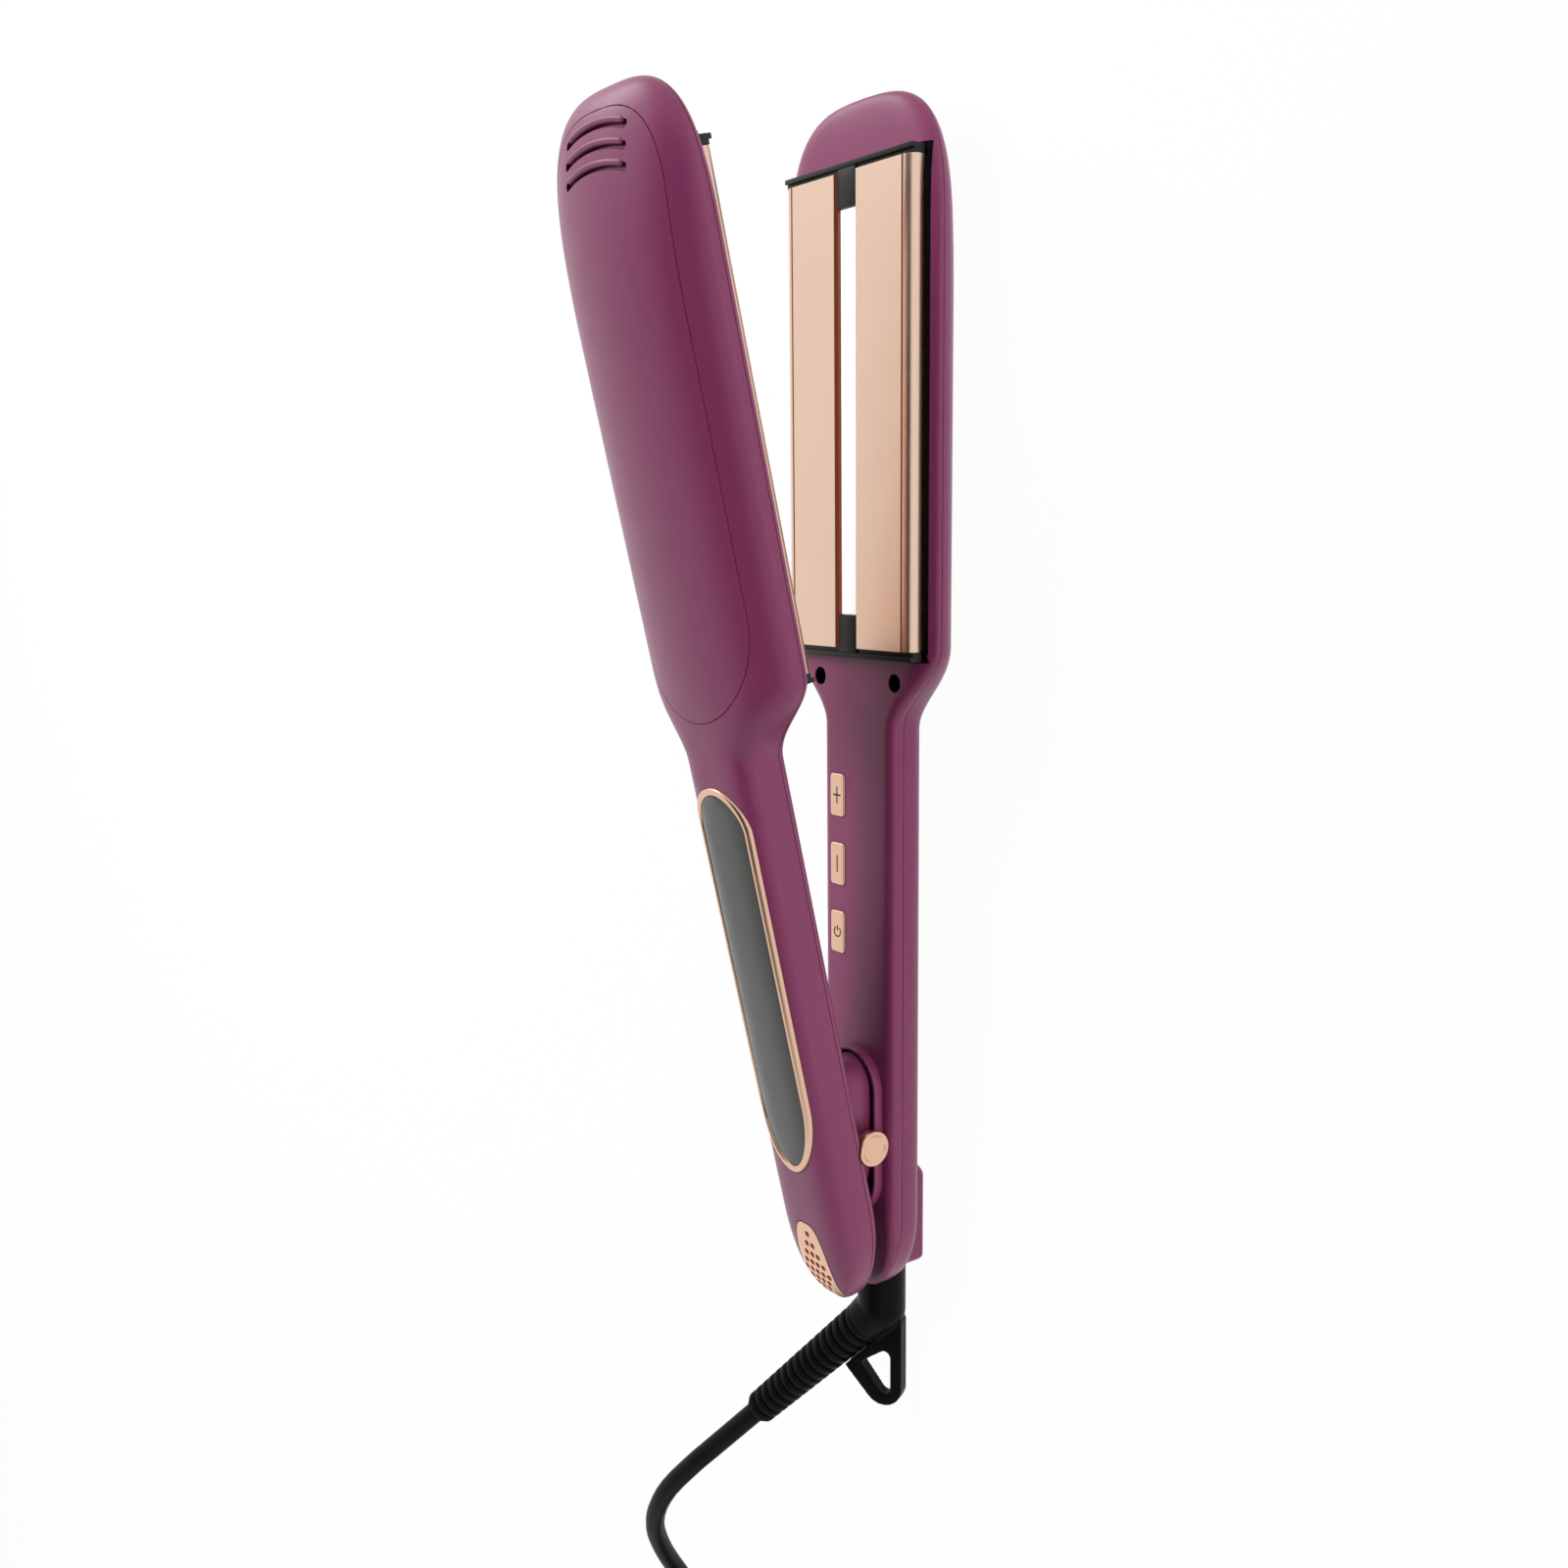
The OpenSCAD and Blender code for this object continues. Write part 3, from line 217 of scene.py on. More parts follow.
def noise(tree, scale, detail, vector, rough):
    node = tree.nodes.new("ShaderNodeTexNoise")
    node.inputs["Detail"].default_value = detail
    node.inputs["Roughness"].default_value = rough
    tree.links.new(scale, node.inputs["Scale"])
    tree.links.new(vector, node.inputs["Vector"])
    return node.outputs["Fac"]


def new_material(name):
    """A material, its node tree and its surface node."""
    material = bpy.data.materials.new(name)
    material.use_nodes = True
    return material, material.node_tree, material.node_tree.nodes["Principled BSDF"]


def build_grain():
    """Fine moulded grain: a height for the bump, a slow tone and a smudge mask."""
    tree, entry, leave = group(
        "moulded_grain", {"Grain Scale": 3000, "Tone Scale": 40, "Smudge Scale": 120},
        ("Height", "Tone", "Smudge"))
    place = tree.nodes.new("ShaderNodeTexCoord").outputs["Object"]
    for label, source, detail, rough in (("Height", "Grain Scale", 2, 0.5),
                                         ("Tone", "Tone Scale", 3, 0.5),
                                         ("Smudge", "Smudge Scale", 5, 0.6)):
        value = noise(tree, entry.outputs[source], detail, place, rough)
        tree.links.new(value, leave.inputs[label])
    return tree


GRAIN = build_grain()


def blend_color(tree, a, b, factor):
    node = tree.nodes.new("ShaderNodeMix")
    node.data_type = "RGBA"
    node.inputs["A"].default_value = (*a, 1)
    node.inputs["B"].default_value = (*b, 1)
    tree.links.new(factor, node.inputs["Factor"])
    return node.outputs["Result"]


def spread(tree, value, low, high):
    """The middle of a noise's range stretched to run from low to high."""
    node = tree.nodes.new("ShaderNodeMapRange")
    node.inputs["From Min"].default_value = 0.3
    node.inputs["From Max"].default_value = 0.7
    node.inputs["To Min"].default_value = low
    node.inputs["To Max"].default_value = high
    tree.links.new(value, node.inputs["Value"])
    return node.outputs["Result"]


def finish(name, color, roughness, metallic=0.0, tone=0.08, grain=3000.0, height=0.02,
           smudge=0.05, coat=0.0, specular=0.5, sheen=0.0, glow=0.0):
    """A moulded, plated or lacquered finish with its own grain, tone and smudges, and a glow that
    paints light into it where glow is above 0.
    """
    material, tree, surface = new_material(name)
    worn = tree.nodes.new("ShaderNodeGroup")
    worn.node_tree = GRAIN
    worn.inputs["Grain Scale"].default_value = grain
    light = [min(c * (1 + tone), 1) for c in color]
    dark = [c * (1 - tone) for c in color]
    shade = blend_color(tree, dark, light, worn.outputs["Tone"])
    tree.links.new(shade, surface.inputs["Base Color"])
    gloss = spread(tree, worn.outputs["Smudge"], roughness - smudge, roughness + smudge)
    tree.links.new(gloss, surface.inputs["Roughness"])
    bumped = tree.nodes.new("ShaderNodeBump")
    bumped.inputs["Strength"].default_value = 0.5
    bumped.inputs["Distance"].default_value = height * MM
    tree.links.new(worn.outputs["Height"], bumped.inputs["Height"])
    tree.links.new(bumped.outputs["Normal"], surface.inputs["Normal"])
    surface.inputs["Metallic"].default_value = metallic
    surface.inputs["Coat Weight"].default_value = coat
    surface.inputs["Coat Roughness"].default_value = 0.12
    surface.inputs["Specular IOR Level"].default_value = specular
    surface.inputs["Sheen Weight"].default_value = sheen
    surface.inputs["Sheen Roughness"].default_value = 0.4
    surface.inputs["Emission Color"].default_value = (1, 1, 1, 1)
    surface.inputs["Emission Strength"].default_value = glow
    return material


PLUM = finish("plum_soft_touch", (0.2, 0.032, 0.1), 0.36, tone=0.05, height=0.012, smudge=0.03,
              specular=0.45, sheen=0.05)
ROSE_PLATE = finish("rose_gold_plate", (0.79, 0.57, 0.44), 0.3, metallic=1.0, tone=0.03,
                    grain=900, height=0.004, smudge=0.02)
# Dark copper colour on the plate's edges: painted shade and painted dark reflection
PLATE_EDGE_SHADE = finish("painted_plate_edge_shade", (0.26, 0.08, 0.045), 0.4, metallic=1.0, tone=0.05, smudge=0.03)
ROSE_TRIM = finish("rose_gold_trim", (0.76, 0.49, 0.35), 0.3, metallic=1.0, tone=0.04,
                   height=0.006, smudge=0.03)
BLACK = finish("black_plastic", (0.002, 0.002, 0.002), 0.35, tone=0.2, height=0.02, smudge=0.06,
               specular=0.07)
CAP_BLACK = finish("heat_proof_plastic", (0.016, 0.017, 0.015), 0.4, tone=0.2, height=0.02,
                   smudge=0.06, specular=0.2)
SHEATH = finish("black_sheath", (0.003, 0.003, 0.003), 0.45, tone=0.2, grain=1800, height=0.03,
                smudge=0.06, specular=0.07)
# The window's glow is painted light that makes it read white
GLOWING_WINDOW = finish("infrared_window", (0.94, 0.94, 0.94), 0.3, tone=0.01, smudge=0.02, height=0.004,
                glow=0.5)
DISPLAY = finish("display_gloss", (0.026, 0.028, 0.024), 0.3, tone=0.25, smudge=0.08, height=0.002,
                 coat=0.3)
# The colour of the cups in the grille's holes: painted shade
HOLE_SHADE = finish("grille_hole_shade", (0.6, 0.2, 0.08), 0.4, tone=0.3, specular=0.3)
CERAMIC = finish("heater_ceramic", (0.8, 0.79, 0.76), 0.5, tone=0.04)
BOARD = finish("circuit_board", (0.02, 0.12, 0.04), 0.35, tone=0.15)
STEEL = finish("spring_steel", (0.52, 0.52, 0.53), 0.28, metallic=1.0, tone=0.05)
SCREW = finish("blackened_screw", (0.05, 0.05, 0.052), 0.35, metallic=1.0, tone=0.15)
PIN = finish("plated_pin", (0.75, 0.72, 0.66), 0.2, metallic=1.0, tone=0.04)
SLOT_FINISH = {
    "shell": PLUM, "plate": ROSE_PLATE, "rose_gold": ROSE_TRIM, "black_plastic": BLACK,
    "black_rubber": SHEATH, "infrared_glass": GLOWING_WINDOW, "display_glass": DISPLAY,
    "ceramic": CERAMIC, "board": BOARD, "steel": STEEL, "screw_steel": SCREW, "brass": PIN,
}
SLOT_OF = {s["node"]: s["material_slot"] for s in frame["record"]["subparts"]}
for node_name, node_object in frame["nodes"].items():
    node_object.data.materials.clear()
    node_object.data.materials.append(SLOT_FINISH[SLOT_OF[node_name]])

# ---- Mesh helpers ----

SHEET_MERGE, SPIN_MERGE = 0.002, 0.001
SHARP_EDGE = math.radians(40)


def sheet(nu, nv, place):
    """A grid of nu by nv faces, each vertex put where place says for its u and v, 0 to 1."""
    bm = bmesh.new()
    bmesh.ops.create_grid(bm, x_segments=nu, y_segments=nv, size=1)
    for vert in bm.verts:
        vert.co = place((vert.co.x + 1) / 2, (vert.co.y + 1) / 2)
    bmesh.ops.remove_doubles(bm, verts=bm.verts, dist=SHEET_MERGE)
    bmesh.ops.recalc_face_normals(bm, faces=bm.faces)
    return bm


def slab(nu, nv, place, low, high):
    """A closed sheet between the depths low and high: place(u, v, depth)."""
    rows = nv + 1

    def wrapped(u, v):
        k = round(v * 2 * rows)
        return place(u, (k if k < rows else 2 * rows - 1 - k) / nv, high if k < rows else low)

    def around(u, v):
        k = round(v * 2 * rows)
        return wrapped(u, 0) if k == 2 * rows else wrapped(u, v)

    return sheet(nu, 2 * rows, around)


def extruded(outline, base, direction):
    """The outline's points, given on a flat face, pushed along direction."""
    bm = bmesh.new()
    face = bm.faces.new([bm.verts.new(base @ Vector((*p, 0))) for p in outline])
    grown = bmesh.ops.extrude_face_region(bm, geom=[face])
    pushed = [g for g in grown["geom"] if isinstance(g, bmesh.types.BMVert)]
    bmesh.ops.translate(bm, verts=pushed, vec=direction)
    bmesh.ops.recalc_face_normals(bm, faces=bm.faces)
    return bm


def prism(outline, z0, z1):
    return extruded(outline, shift(0, 0, z0), Vector((0, 0, z1 - z0)))


def block(x0, x1, y0, y1, z0, z1):
    return prism([(x0, y0), (x1, y0), (x1, y1), (x0, y1)], z0, z1)


def cone(d0, d1, z0, z1, sides):
    bm = bmesh.new()
    bmesh.ops.create_cone(bm, cap_ends=True, segments=sides, radius1=d0 / 2, radius2=d1 / 2,
                          depth=z1 - z0)
    bmesh.ops.translate(bm, verts=bm.verts, vec=(0, 0, (z0 + z1) / 2))
    return bm


def disc(d, z0, z1, sides=32):
    return cone(d, d, z0, z1, sides)


def spun(profile, sides=64):
    """A profile of radius and height pairs turned about Z."""
    bm = bmesh.new()
    verts = [bm.verts.new((r, 0, z)) for r, z in profile]
    edges = [bm.edges.new(pair) for pair in zip(verts, verts[1:])]
    bmesh.ops.spin(bm, geom=verts + edges, cent=(0, 0, 0), axis=(0, 0, 1), dvec=(0, 0, 0),
                   angle=math.tau, steps=sides, use_merge=True)
    bmesh.ops.remove_doubles(bm, verts=bm.verts, dist=SPIN_MERGE)
    bmesh.ops.recalc_face_normals(bm, faces=bm.faces)
    return bm


def soften(bm, width, segments=3):
    """Rounds every sharp edge."""
    edges = [e for e in bm.edges if len(e.link_faces) == 2 and e.calc_face_angle() > SHARP_EDGE]
    bmesh.ops.bevel(bm, geom=edges, offset=width, segments=segments, affect="EDGES",
                    profile=0.5, material=-1, clamp_overlap=True)
    return bm


def moved(bm, matrix):
    """The mesh put through matrix, its faces outward also when that mirrors it."""
    bm.transform(matrix)
    if matrix.determinant() < 0:
        bmesh.ops.reverse_faces(bm, faces=bm.faces)
    return bm


def mesh_of(bm, name):
    mesh = bpy.data.meshes.new(name)
    bm.to_mesh(mesh)
    bm.free()
    return mesh


def joined(*parts):
    """Several meshes as the loose parts of one."""
    whole = bmesh.new()
    for part in parts:
        mesh = mesh_of(part, "part")
        whole.from_mesh(mesh)
        bpy.data.meshes.remove(mesh)
    return whole


def stand_in(bm):
    """A passing object for a mesh that modifiers work on."""
    return in_scene("stand_in", mesh_of(bm, "stand_in"))


def modified(things, setup):
    """The mesh of things[0] once setup has given it its modifiers; the things are then removed."""
    setup(*things)
    bpy.context.view_layer.update()
    ready = things[0].evaluated_get(bpy.context.evaluated_depsgraph_get())
    mesh = bpy.data.meshes.new_from_object(ready)
    bm = bmesh.new()
    bm.from_mesh(mesh)
    bpy.data.meshes.remove(mesh)
    for thing in things:
        old = thing.data
        bpy.data.objects.remove(thing)
        bpy.data.meshes.remove(old)
    return bm


def cut(bm, tools):
    """The mesh with the tools taken out of it."""

    def setup(base, *others):
        for other in others:
            modifier = base.modifiers.new("cut", "BOOLEAN")
            modifier.operation = "DIFFERENCE"
            modifier.solver = "EXACT"
            modifier.object = other

    return modified([stand_in(bm)] + [stand_in(tool) for tool in tools], setup)


def piece(bm, name, place, body, slot, replaces=(), angle=32, material=None):
    """Turns a mesh in millimetres into a finished piece that rides on a body."""
    moved(bm, place)
    for face in bm.faces:
        face.smooth = True
    for edge in bm.edges:
        if len(edge.link_faces) == 2:
            edge.smooth = edge.calc_face_angle() < math.radians(angle)
    mesh = mesh_of(bm, name)
    mesh.materials.append(material or SLOT_FINISH[slot])
    thing = in_scene(name, mesh)
    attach(thing, body)
    if replaces:
        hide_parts(*replaces)
    return thing


# ---- Cord, coil and plug ----

CORD_D, COIL_TURNS, COIL_MID, COIL_PITCH = 5.8, 9.25, 31.5, 6.3
COIL_X, COIL_Y, COIL_LAYERS, COIL_STEPS, TIE_T = -410, 49.2, 4, 36, 0.5
CORD_ROUTE = [
    (-273, 34, 24.2), (-279, 39.1, 26.75), (-285, 44.2, 29.3), (-291, 49.3, 31.85),
    (-296, 53.5, 34), (-307, 62.4, 37), (-317.5, 69.5, 37), (-327.5, 75.2, 34.6),
    (-337.5, 79.6, 30.2), (-347, 82.8, 25), (-357, 85.2, 19), (-367, 86.7, 13.2),
    (-377.5, 87.5, 8.2), (-388.5, 87.9, 4.8), (-396.5, 88, 3.7),
]
END_STEP, END_STEPS = 7, 8
PLUG_L, PLUG_W, PLUG_H, PLUG_CORNER, PLUG_EDGE = 34, 32, 15, 4, 1.2
PLUG_NOSE, PLUG_NOSE_R, PLUG_NOSE_TAPER = 12, 5.5, 1.5
PLUG_RIB_PITCH, PLUG_RIB_DIP = 2.4, 0.8
LAYER_TURNS = COIL_TURNS / COIL_LAYERS
COIL_OUT = COIL_MID + LAYER_TURNS * COIL_PITCH / 2
COIL_LIFT = CORD_D / 2 + TIE_T + 0.1


def coil_layer(t):
    """The coil's layer, from 0 up, after t turns."""
    k = math.floor(t / LAYER_TURNS + 0.5)
    d = t - k * LAYER_TURNS
    if k < 1:
        return 0
    return COIL_LAYERS - 1 if k > COIL_LAYERS - 1 else k - 1 + ease((d + 0.25) / 0.5)


def coil_point(t):
    """The cord's middle after t turns of the coil, wound in and out layer by layer."""
    u = t / LAYER_TURNS
    k = math.floor(u)
    r = COIL_OUT - COIL_PITCH * LAYER_TURNS * (u - k if k % 2 == 0 else 1 - u + k)
    a = math.radians(90 + 360 * t)
    return Vector((COIL_X + r * math.cos(a), COIL_Y + r * math.sin(a),
                   COIL_LIFT + COIL_PITCH * coil_layer(t)))


coil_steps = int(COIL_TURNS * COIL_STEPS)
coil_path = [coil_point(COIL_TURNS * k / coil_steps) for k in range(coil_steps + 1)]
coil_start = coil_path[0] + Vector((CORD_D, 0, 0))
coil_stop = coil_path[-1] + Vector((0, -CORD_D, 0))
end_drop = coil_stop.z - PLUG_H / 2
end_route = [coil_stop + Vector((0, -END_STEP * k, -end_drop * ease((k - 1) / 5)))
             for k in range(END_STEPS)]
plug_at = end_route[-1]


def rounded_route(points, steps):
    """A smooth line through the points."""
    ends = [points[0] * 2 - points[1], *points, points[-1] * 2 - points[-2]]
    line = []
    for a, b, c, d in zip(ends, ends[1:], ends[2:], ends[3:]):
        for k in range(steps):
            t = k / steps
            line.append(0.5 * (2 * b + (c - a) * t + (2 * a - 5 * b + 4 * c - d) * t * t
                               + (3 * b - a - 3 * c + d) * t ** 3))
    return line + [points[-1]]


free_line = rounded_route([Vector(p) for p in CORD_ROUTE] + [coil_start], 3)
cord_line = free_line + coil_path + rounded_route(end_route, 2)
cord_length = sum((b - a).length for a, b in zip(cord_line, cord_line[1:])) * MM
cord_data = bpy.data.curves.new("mains_cord", "CURVE")
cord_data.dimensions = "3D"
cord_data.bevel_depth = CORD_D / 2 * MM
cord_data.bevel_resolution = 5
cord_data.use_fill_caps = True
cord_spline = cord_data.splines.new("POLY")
cord_spline.points.add(len(cord_line) - 1)
for knot, point in zip(cord_spline.points, cord_line):
    knot.co = (*(point * MM), 1)
cord_data.materials.append(SHEATH)
mains_cord = in_scene("mains_cord", cord_data)
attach(mains_cord, "cord_swivel")
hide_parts("power_cord", "cord_coil", "cord_end")


def tile(l, w, r):
    """A rectangle with rounded corners about the origin."""
    points, steps = [], 8
    for q, (sx, sy) in enumerate(((1, 1), (-1, 1), (-1, -1), (1, -1))):
        for i in range(steps + 1):
            a = math.radians(90 * q + 90 * i / steps)
            points.append((sx * (l / 2 - r) + r * math.cos(a),
                           sy * (w / 2 - r) + r * math.sin(a)))
    return points


plug_base = Matrix.Translation(plug_at - Vector((0, PLUG_NOSE, 0)))
plug_shell = soften(moved(prism(tile(PLUG_W, PLUG_H, PLUG_CORNER), 0, PLUG_L),
                          plug_base @ rotation(90, "X")), PLUG_EDGE, 4)
nose_profile = [(0, -0.2), (PLUG_NOSE_R, -0.2)]
for k in range(5):
    for part, dip in ((0.2, 0), (1.4, 0), (1.6, PLUG_RIB_DIP), (2.3, PLUG_RIB_DIP)):
        z = PLUG_RIB_PITCH * k + part
        nose_profile.append((PLUG_NOSE_R - PLUG_NOSE_TAPER * z / PLUG_NOSE - dip, z))
nose_profile += [(PLUG_NOSE_R - PLUG_NOSE_TAPER, PLUG_NOSE), (0, PLUG_NOSE)]
plug_ribs = moved(spun(nose_profile), plug_base @ rotation(-90, "X"))
plug = piece(joined(plug_shell, plug_ribs), "mains_plug", TO_METRES, "cord_swivel", "black_plastic",
             ("plug_body",))

# ---- Shells ----

ARCH_STEPS, CORNER_STEPS = 56, 9


def back_ring(x, e, et, up):
    """The section of an arm's back shell: an arch over the parting line."""
    s, w = part_z(x, up) + SEAM / 2, half_w(x, e, et, up)
    d, n = max(crown_z(x, e, et, up) - s, 0), back_bend(x)
    ring = []
    for k in range(ARCH_STEPS + 1):
        a = math.pi * k / ARCH_STEPS
        c, h = math.cos(a), abs(math.sin(a))
        r = (abs(c) ** n + h ** n) ** (-1 / n)
        ring.append(Vector((x, -w * r * c, s + d * r * h)))
    return ring


def front_ring(x, e, et, up):
    """The section of an arm's front shell: two sides, rounded corners and the flat face."""
    s, w = part_z(x, up) - SEAM / 2, half_w(x, e, et, up)
    f = min(face_z(x, e, up), s)
    cw, ch = (mix(a, b, headness(x)) - e / 2 for a, b in zip(FACE_ROUND, HEAD_FACE_ROUND))
    cw, ch = min(cw, w * 0.9), min(ch, (s - f) * 0.95)
    side = [(-w, s), (-w, mix(s, f + ch, 0.4)), (-w, mix(s, f + ch, 0.8))]
    for k in range(CORNER_STEPS + 1):
        a = math.radians(90 * k / CORNER_STEPS)
        side.append((-w + cw * (1 - math.cos(a)), f + ch * (1 - math.sin(a))))
    flat = [((-w + cw) * (1 - k / 4), f) for k in range(1, 4)]
    half = side + flat
    return [Vector((x, y, z)) for y, z in half + [(0, f)] + [(-y, z) for y, z in reversed(half)]]


def shell_stations(e, et, up):
    """The values of x at which a shell has its sections, close together at both ends."""
    r = tail_round(up)
    tail = [r - TAIL_L - (r - et) * math.sin(math.radians(90 - 5 * k)) for k in range(18)]
    knots = [r - TAIL_L, 0, 40, NECK_X, NECK_X + NECK_L, ARM_TIP - BACK_TIP_ROUND, TIP_START]
    counts = [14, 10, 14, 22, 18, 6]
    middle = [mix(a, b, k / n) for a, b, n in zip(knots, knots[1:], counts) for k in range(n)]
    tip = [TIP_START + (TIP_ROUND - e) * math.sin(math.radians(3 * k)) for k in range(31)]
    return tail + middle + tip


def hollow(ring, et, up):
    """A closed shell: one skin outside, one a wall's thickness inside."""
    outside = [ring(x, 0, 0, up) for x in shell_stations(0, 0, up)]
    inside = [ring(x, WALL, et, up) for x in shell_stations(WALL, et, up)]
    loops = [a + b[::-1] + [a[0]] for a, b in zip(outside, inside)]
    nu, nv = len(loops) - 1, len(loops[0]) - 1
    return sheet(nu, nv, lambda u, v: loops[round(u * nu)][round(v * nv)])


PANEL_X0, PANEL_X1, PANEL_W, PANEL_END, PANEL_T = NECK_X + 11.2, 249.2, 44.6, 24, 1.2
PANEL_GAP, RIM_GAP, GRILLE_GAP, CUT_ABOVE = 0.24, 0.15, 0.3, 1.5
PANEL_REAR_BEND, PANEL_TIP_BEND = 2, 2.8
VENT_X = [ARM_TIP - 7.7 - 4.1 * k for k in range(3)]
VENT_R, VENT_W, VENT_HALF, VENT_STEPS, VENT_RIB_R, VENT_RIB_LAP = 42, 1.8, 16.5, 20, 0.75, 0.25


def panel_half(x, grow):
    """Half the width of the back panel, or of its opening where grow is the gap."""
    u = (PANEL_X0 + PANEL_END - x) / (PANEL_END + grow)
    v = (x - PANEL_X1 + PANEL_END) / (PANEL_END + grow)
    ends = bow(u, PANEL_REAR_BEND) if u > 0 else bow(v, PANEL_TIP_BEND) if v > 0 else 1
    return (PANEL_W / 2 + grow) * ends


def panel_station(u, grow):
    """The value of x at u, 0 to 1 from the panel's rear end to its tip."""
    if u < 0.3:
        return PANEL_X0 + PANEL_END - (PANEL_END + grow) * math.cos(math.pi / 2 * u / 0.3)
    if u > 0.7:
        return PANEL_X1 - PANEL_END + (PANEL_END + grow) * math.sin(math.pi / 2 * (u - 0.7) / 0.3)
    return mix(PANEL_X0 + PANEL_END, PANEL_X1 - PANEL_END, (u - 0.3) / 0.4)


def panel_place(grow, up):
    def place(u, v, depth):
        x = panel_station(u, grow)
        y = panel_half(x, grow) * (2 * v - 1)
        return Vector((x, y, surf_z(x, y, 0, 0, up) - depth))

    return place


def bent_slot(x):
    """A prism along an arc that bows towards the tip, with round ends."""
    near, far = VENT_R - VENT_W / 2, VENT_R + VENT_W / 2

    def at(r, a):
        return (x - VENT_R + r * math.cos(a), r * math.sin(a))

    half = math.radians(VENT_HALF)
    turns = [-half + 2 * half * k / VENT_STEPS for k in range(VENT_STEPS + 1)]
    outer = [at(far, a) for a in turns]
    inner = [at(near, -a) for a in turns]

    def cap(end):
        cx, cy = at(VENT_R, end * half)
        angles = [end * (half + math.radians(20 * k)) for k in range(1, 9)]
        return [(cx + VENT_W / 2 * math.cos(a), cy + VENT_W / 2 * math.sin(a))
                for a in angles[::end]]

    return prism(outer + cap(1) + inner + cap(-1), PART_D, HEAD_D + 2)


def vent_rib(x, up):
    """A round hood along the front edge of a vent slot."""

    def place(u, v):
        a = math.radians(mix(-VENT_HALF, VENT_HALF, u) * 0.95)
        r = VENT_RIB_R * bow(abs(2 * u - 1), 16)
        turn = math.tau * v
        reach = VENT_R + VENT_W / 2 - VENT_RIB_LAP
        middle = x - VENT_R + reach * math.cos(a)
        height = surf_z(middle, reach * math.sin(a), 0, 0, up) - VENT_RIB_R / 2
        reach += r * math.cos(turn)
        return Vector((x - VENT_R + reach * math.cos(a), reach * math.sin(a),
                       height + r * math.sin(turn)))

    return sheet(40, 16, place)


def bar(x0, x1, w):
    """A bar with half-round ends."""
    r, steps = w / 2, 20
    turns = [math.pi * k / steps for k in range(steps + 1)]
    right = [(x1 - r + r * math.sin(a), -r * math.cos(a)) for a in turns]
    left = [(x0 + r - r * math.sin(a), r * math.cos(a)) for a in turns]
    return right + left


SCREW_X, SCREW_YS, SCREW_HOLE_D, SCREW_FLOOR = NECK_X + 12, (-14.6, 14.6), 4.6, 8.4
WELL_TOP, WELL_STEP, WELL_END = FACE_D + 0.35, FACE_D + WALL + 0.1, 10.2
BUTTON_L, BUTTON_W, BUTTON_X, BUTTON_PITCH, BUTTON_Y = 11, 5.6, 51.2, 17.9, 7.4
BLOCK_W, BLOCK_FRONT, BLOCK_REAR, BLOCK_DEEP = 15.6, 19.4, 15.3, 7
COLLAR_X0, COLLAR_X1, COLLAR_W, COLLAR_H = -BLOCK_REAR - 5, BLOCK_FRONT + 2.2, BLOCK_W + 3, 2.4
HOUSING_X0, HOUSING_X1, HOUSING_W, HOUSING_BASE = 5.6 - TAIL_L, -7.6, 18.6, 13
HOUSING_RAMP, HOUSING_CORNER, HOUSING_EDGE = 6, 2, 1.5
NECK_D, SEAT_X, SWIVEL_Z, ELBOW_X = 12.9, HOUSING_X0 + 1, HEAD_D - 7.2, -52
KNOB_D, KNOB_T, KNOB_BACK, KNOB_TRAVEL, KNOB_ROOM = 9.2, 2.6, 11.6, 1, 0.4
BEZEL_X, BEZEL_L, BEZEL_W, BEZEL_T, BEZEL_RIM, BEZEL_REAR = -3, 103, 21.6, 1.2, 1.9, 20
BEZEL_X1 = BEZEL_X + BEZEL_L
BEZEL_FRONT = BEZEL_X1 - BEZEL_W / 2
GRILLE_T, GRILLE_A0, GRILLE_A1, GRILLE_W, GRILLE_BEND = 1.2, 5, 78, 6.2, 0.6

button_places = [(BUTTON_X + k * BUTTON_PITCH, BUTTON_Y) for k in range(3)]


def display_half(x, e):
    """Half the width of the display's outline, e inside its rim."""
    w = BEZEL_W / 2 - e
    u = (BEZEL_X + BEZEL_REAR - x) / (BEZEL_REAR - e)
    v = (x - BEZEL_FRONT) / w
    return w * (bow(u, 2) if u > 0 else bow(v, 2) if v > 0 else 1)


def display_station(u, e):
    """Stations of the display from its rear end to its front end."""
    if u < 0.3:
        return BEZEL_X + BEZEL_REAR - (BEZEL_REAR - e) * math.cos(math.pi / 2 * u / 0.3)
    if u > 0.75:
        return BEZEL_FRONT + (BEZEL_W / 2 - e) * math.sin(math.pi / 2 * (u - 0.75) / 0.25)
    return mix(BEZEL_X + BEZEL_REAR, BEZEL_FRONT, (u - 0.3) / 0.45)


def display_place(e):
    def place(u, v, depth):
        x = display_station(u, e)
        y = display_half(x, e) * (2 * v - 1)
        return Vector((x, y, surf_z(x, y, 0, 0, True) - depth))

    return place


def grille_place(grow):
    def place(u, v, depth):
        b = math.radians(mix(90, -90, u))
        reach = (GRILLE_A1 - GRILLE_A0) / 2 + grow * 2
        a = math.radians((GRILLE_A0 + GRILLE_A1) / 2 + reach * math.sin(b))
        x = -UPPER_TAIL_START - (UPPER_TAIL_ROUND - depth) * math.sin(a)
        w = (GRILLE_W + grow) * abs(math.cos(b)) ** GRILLE_BEND
        w = min(w, half_w(x, depth, depth, True) - 1)
        y = w * (2 * v - 1)
        return Vector((x, y, surf_z(x, y, depth, depth, True)))

    return place


def housing_half(x):
    return HOUSING_W / 2 - HOUSING_CORNER * (1 - bow((HOUSING_X0 - x) / HOUSING_CORNER + 1, 2))


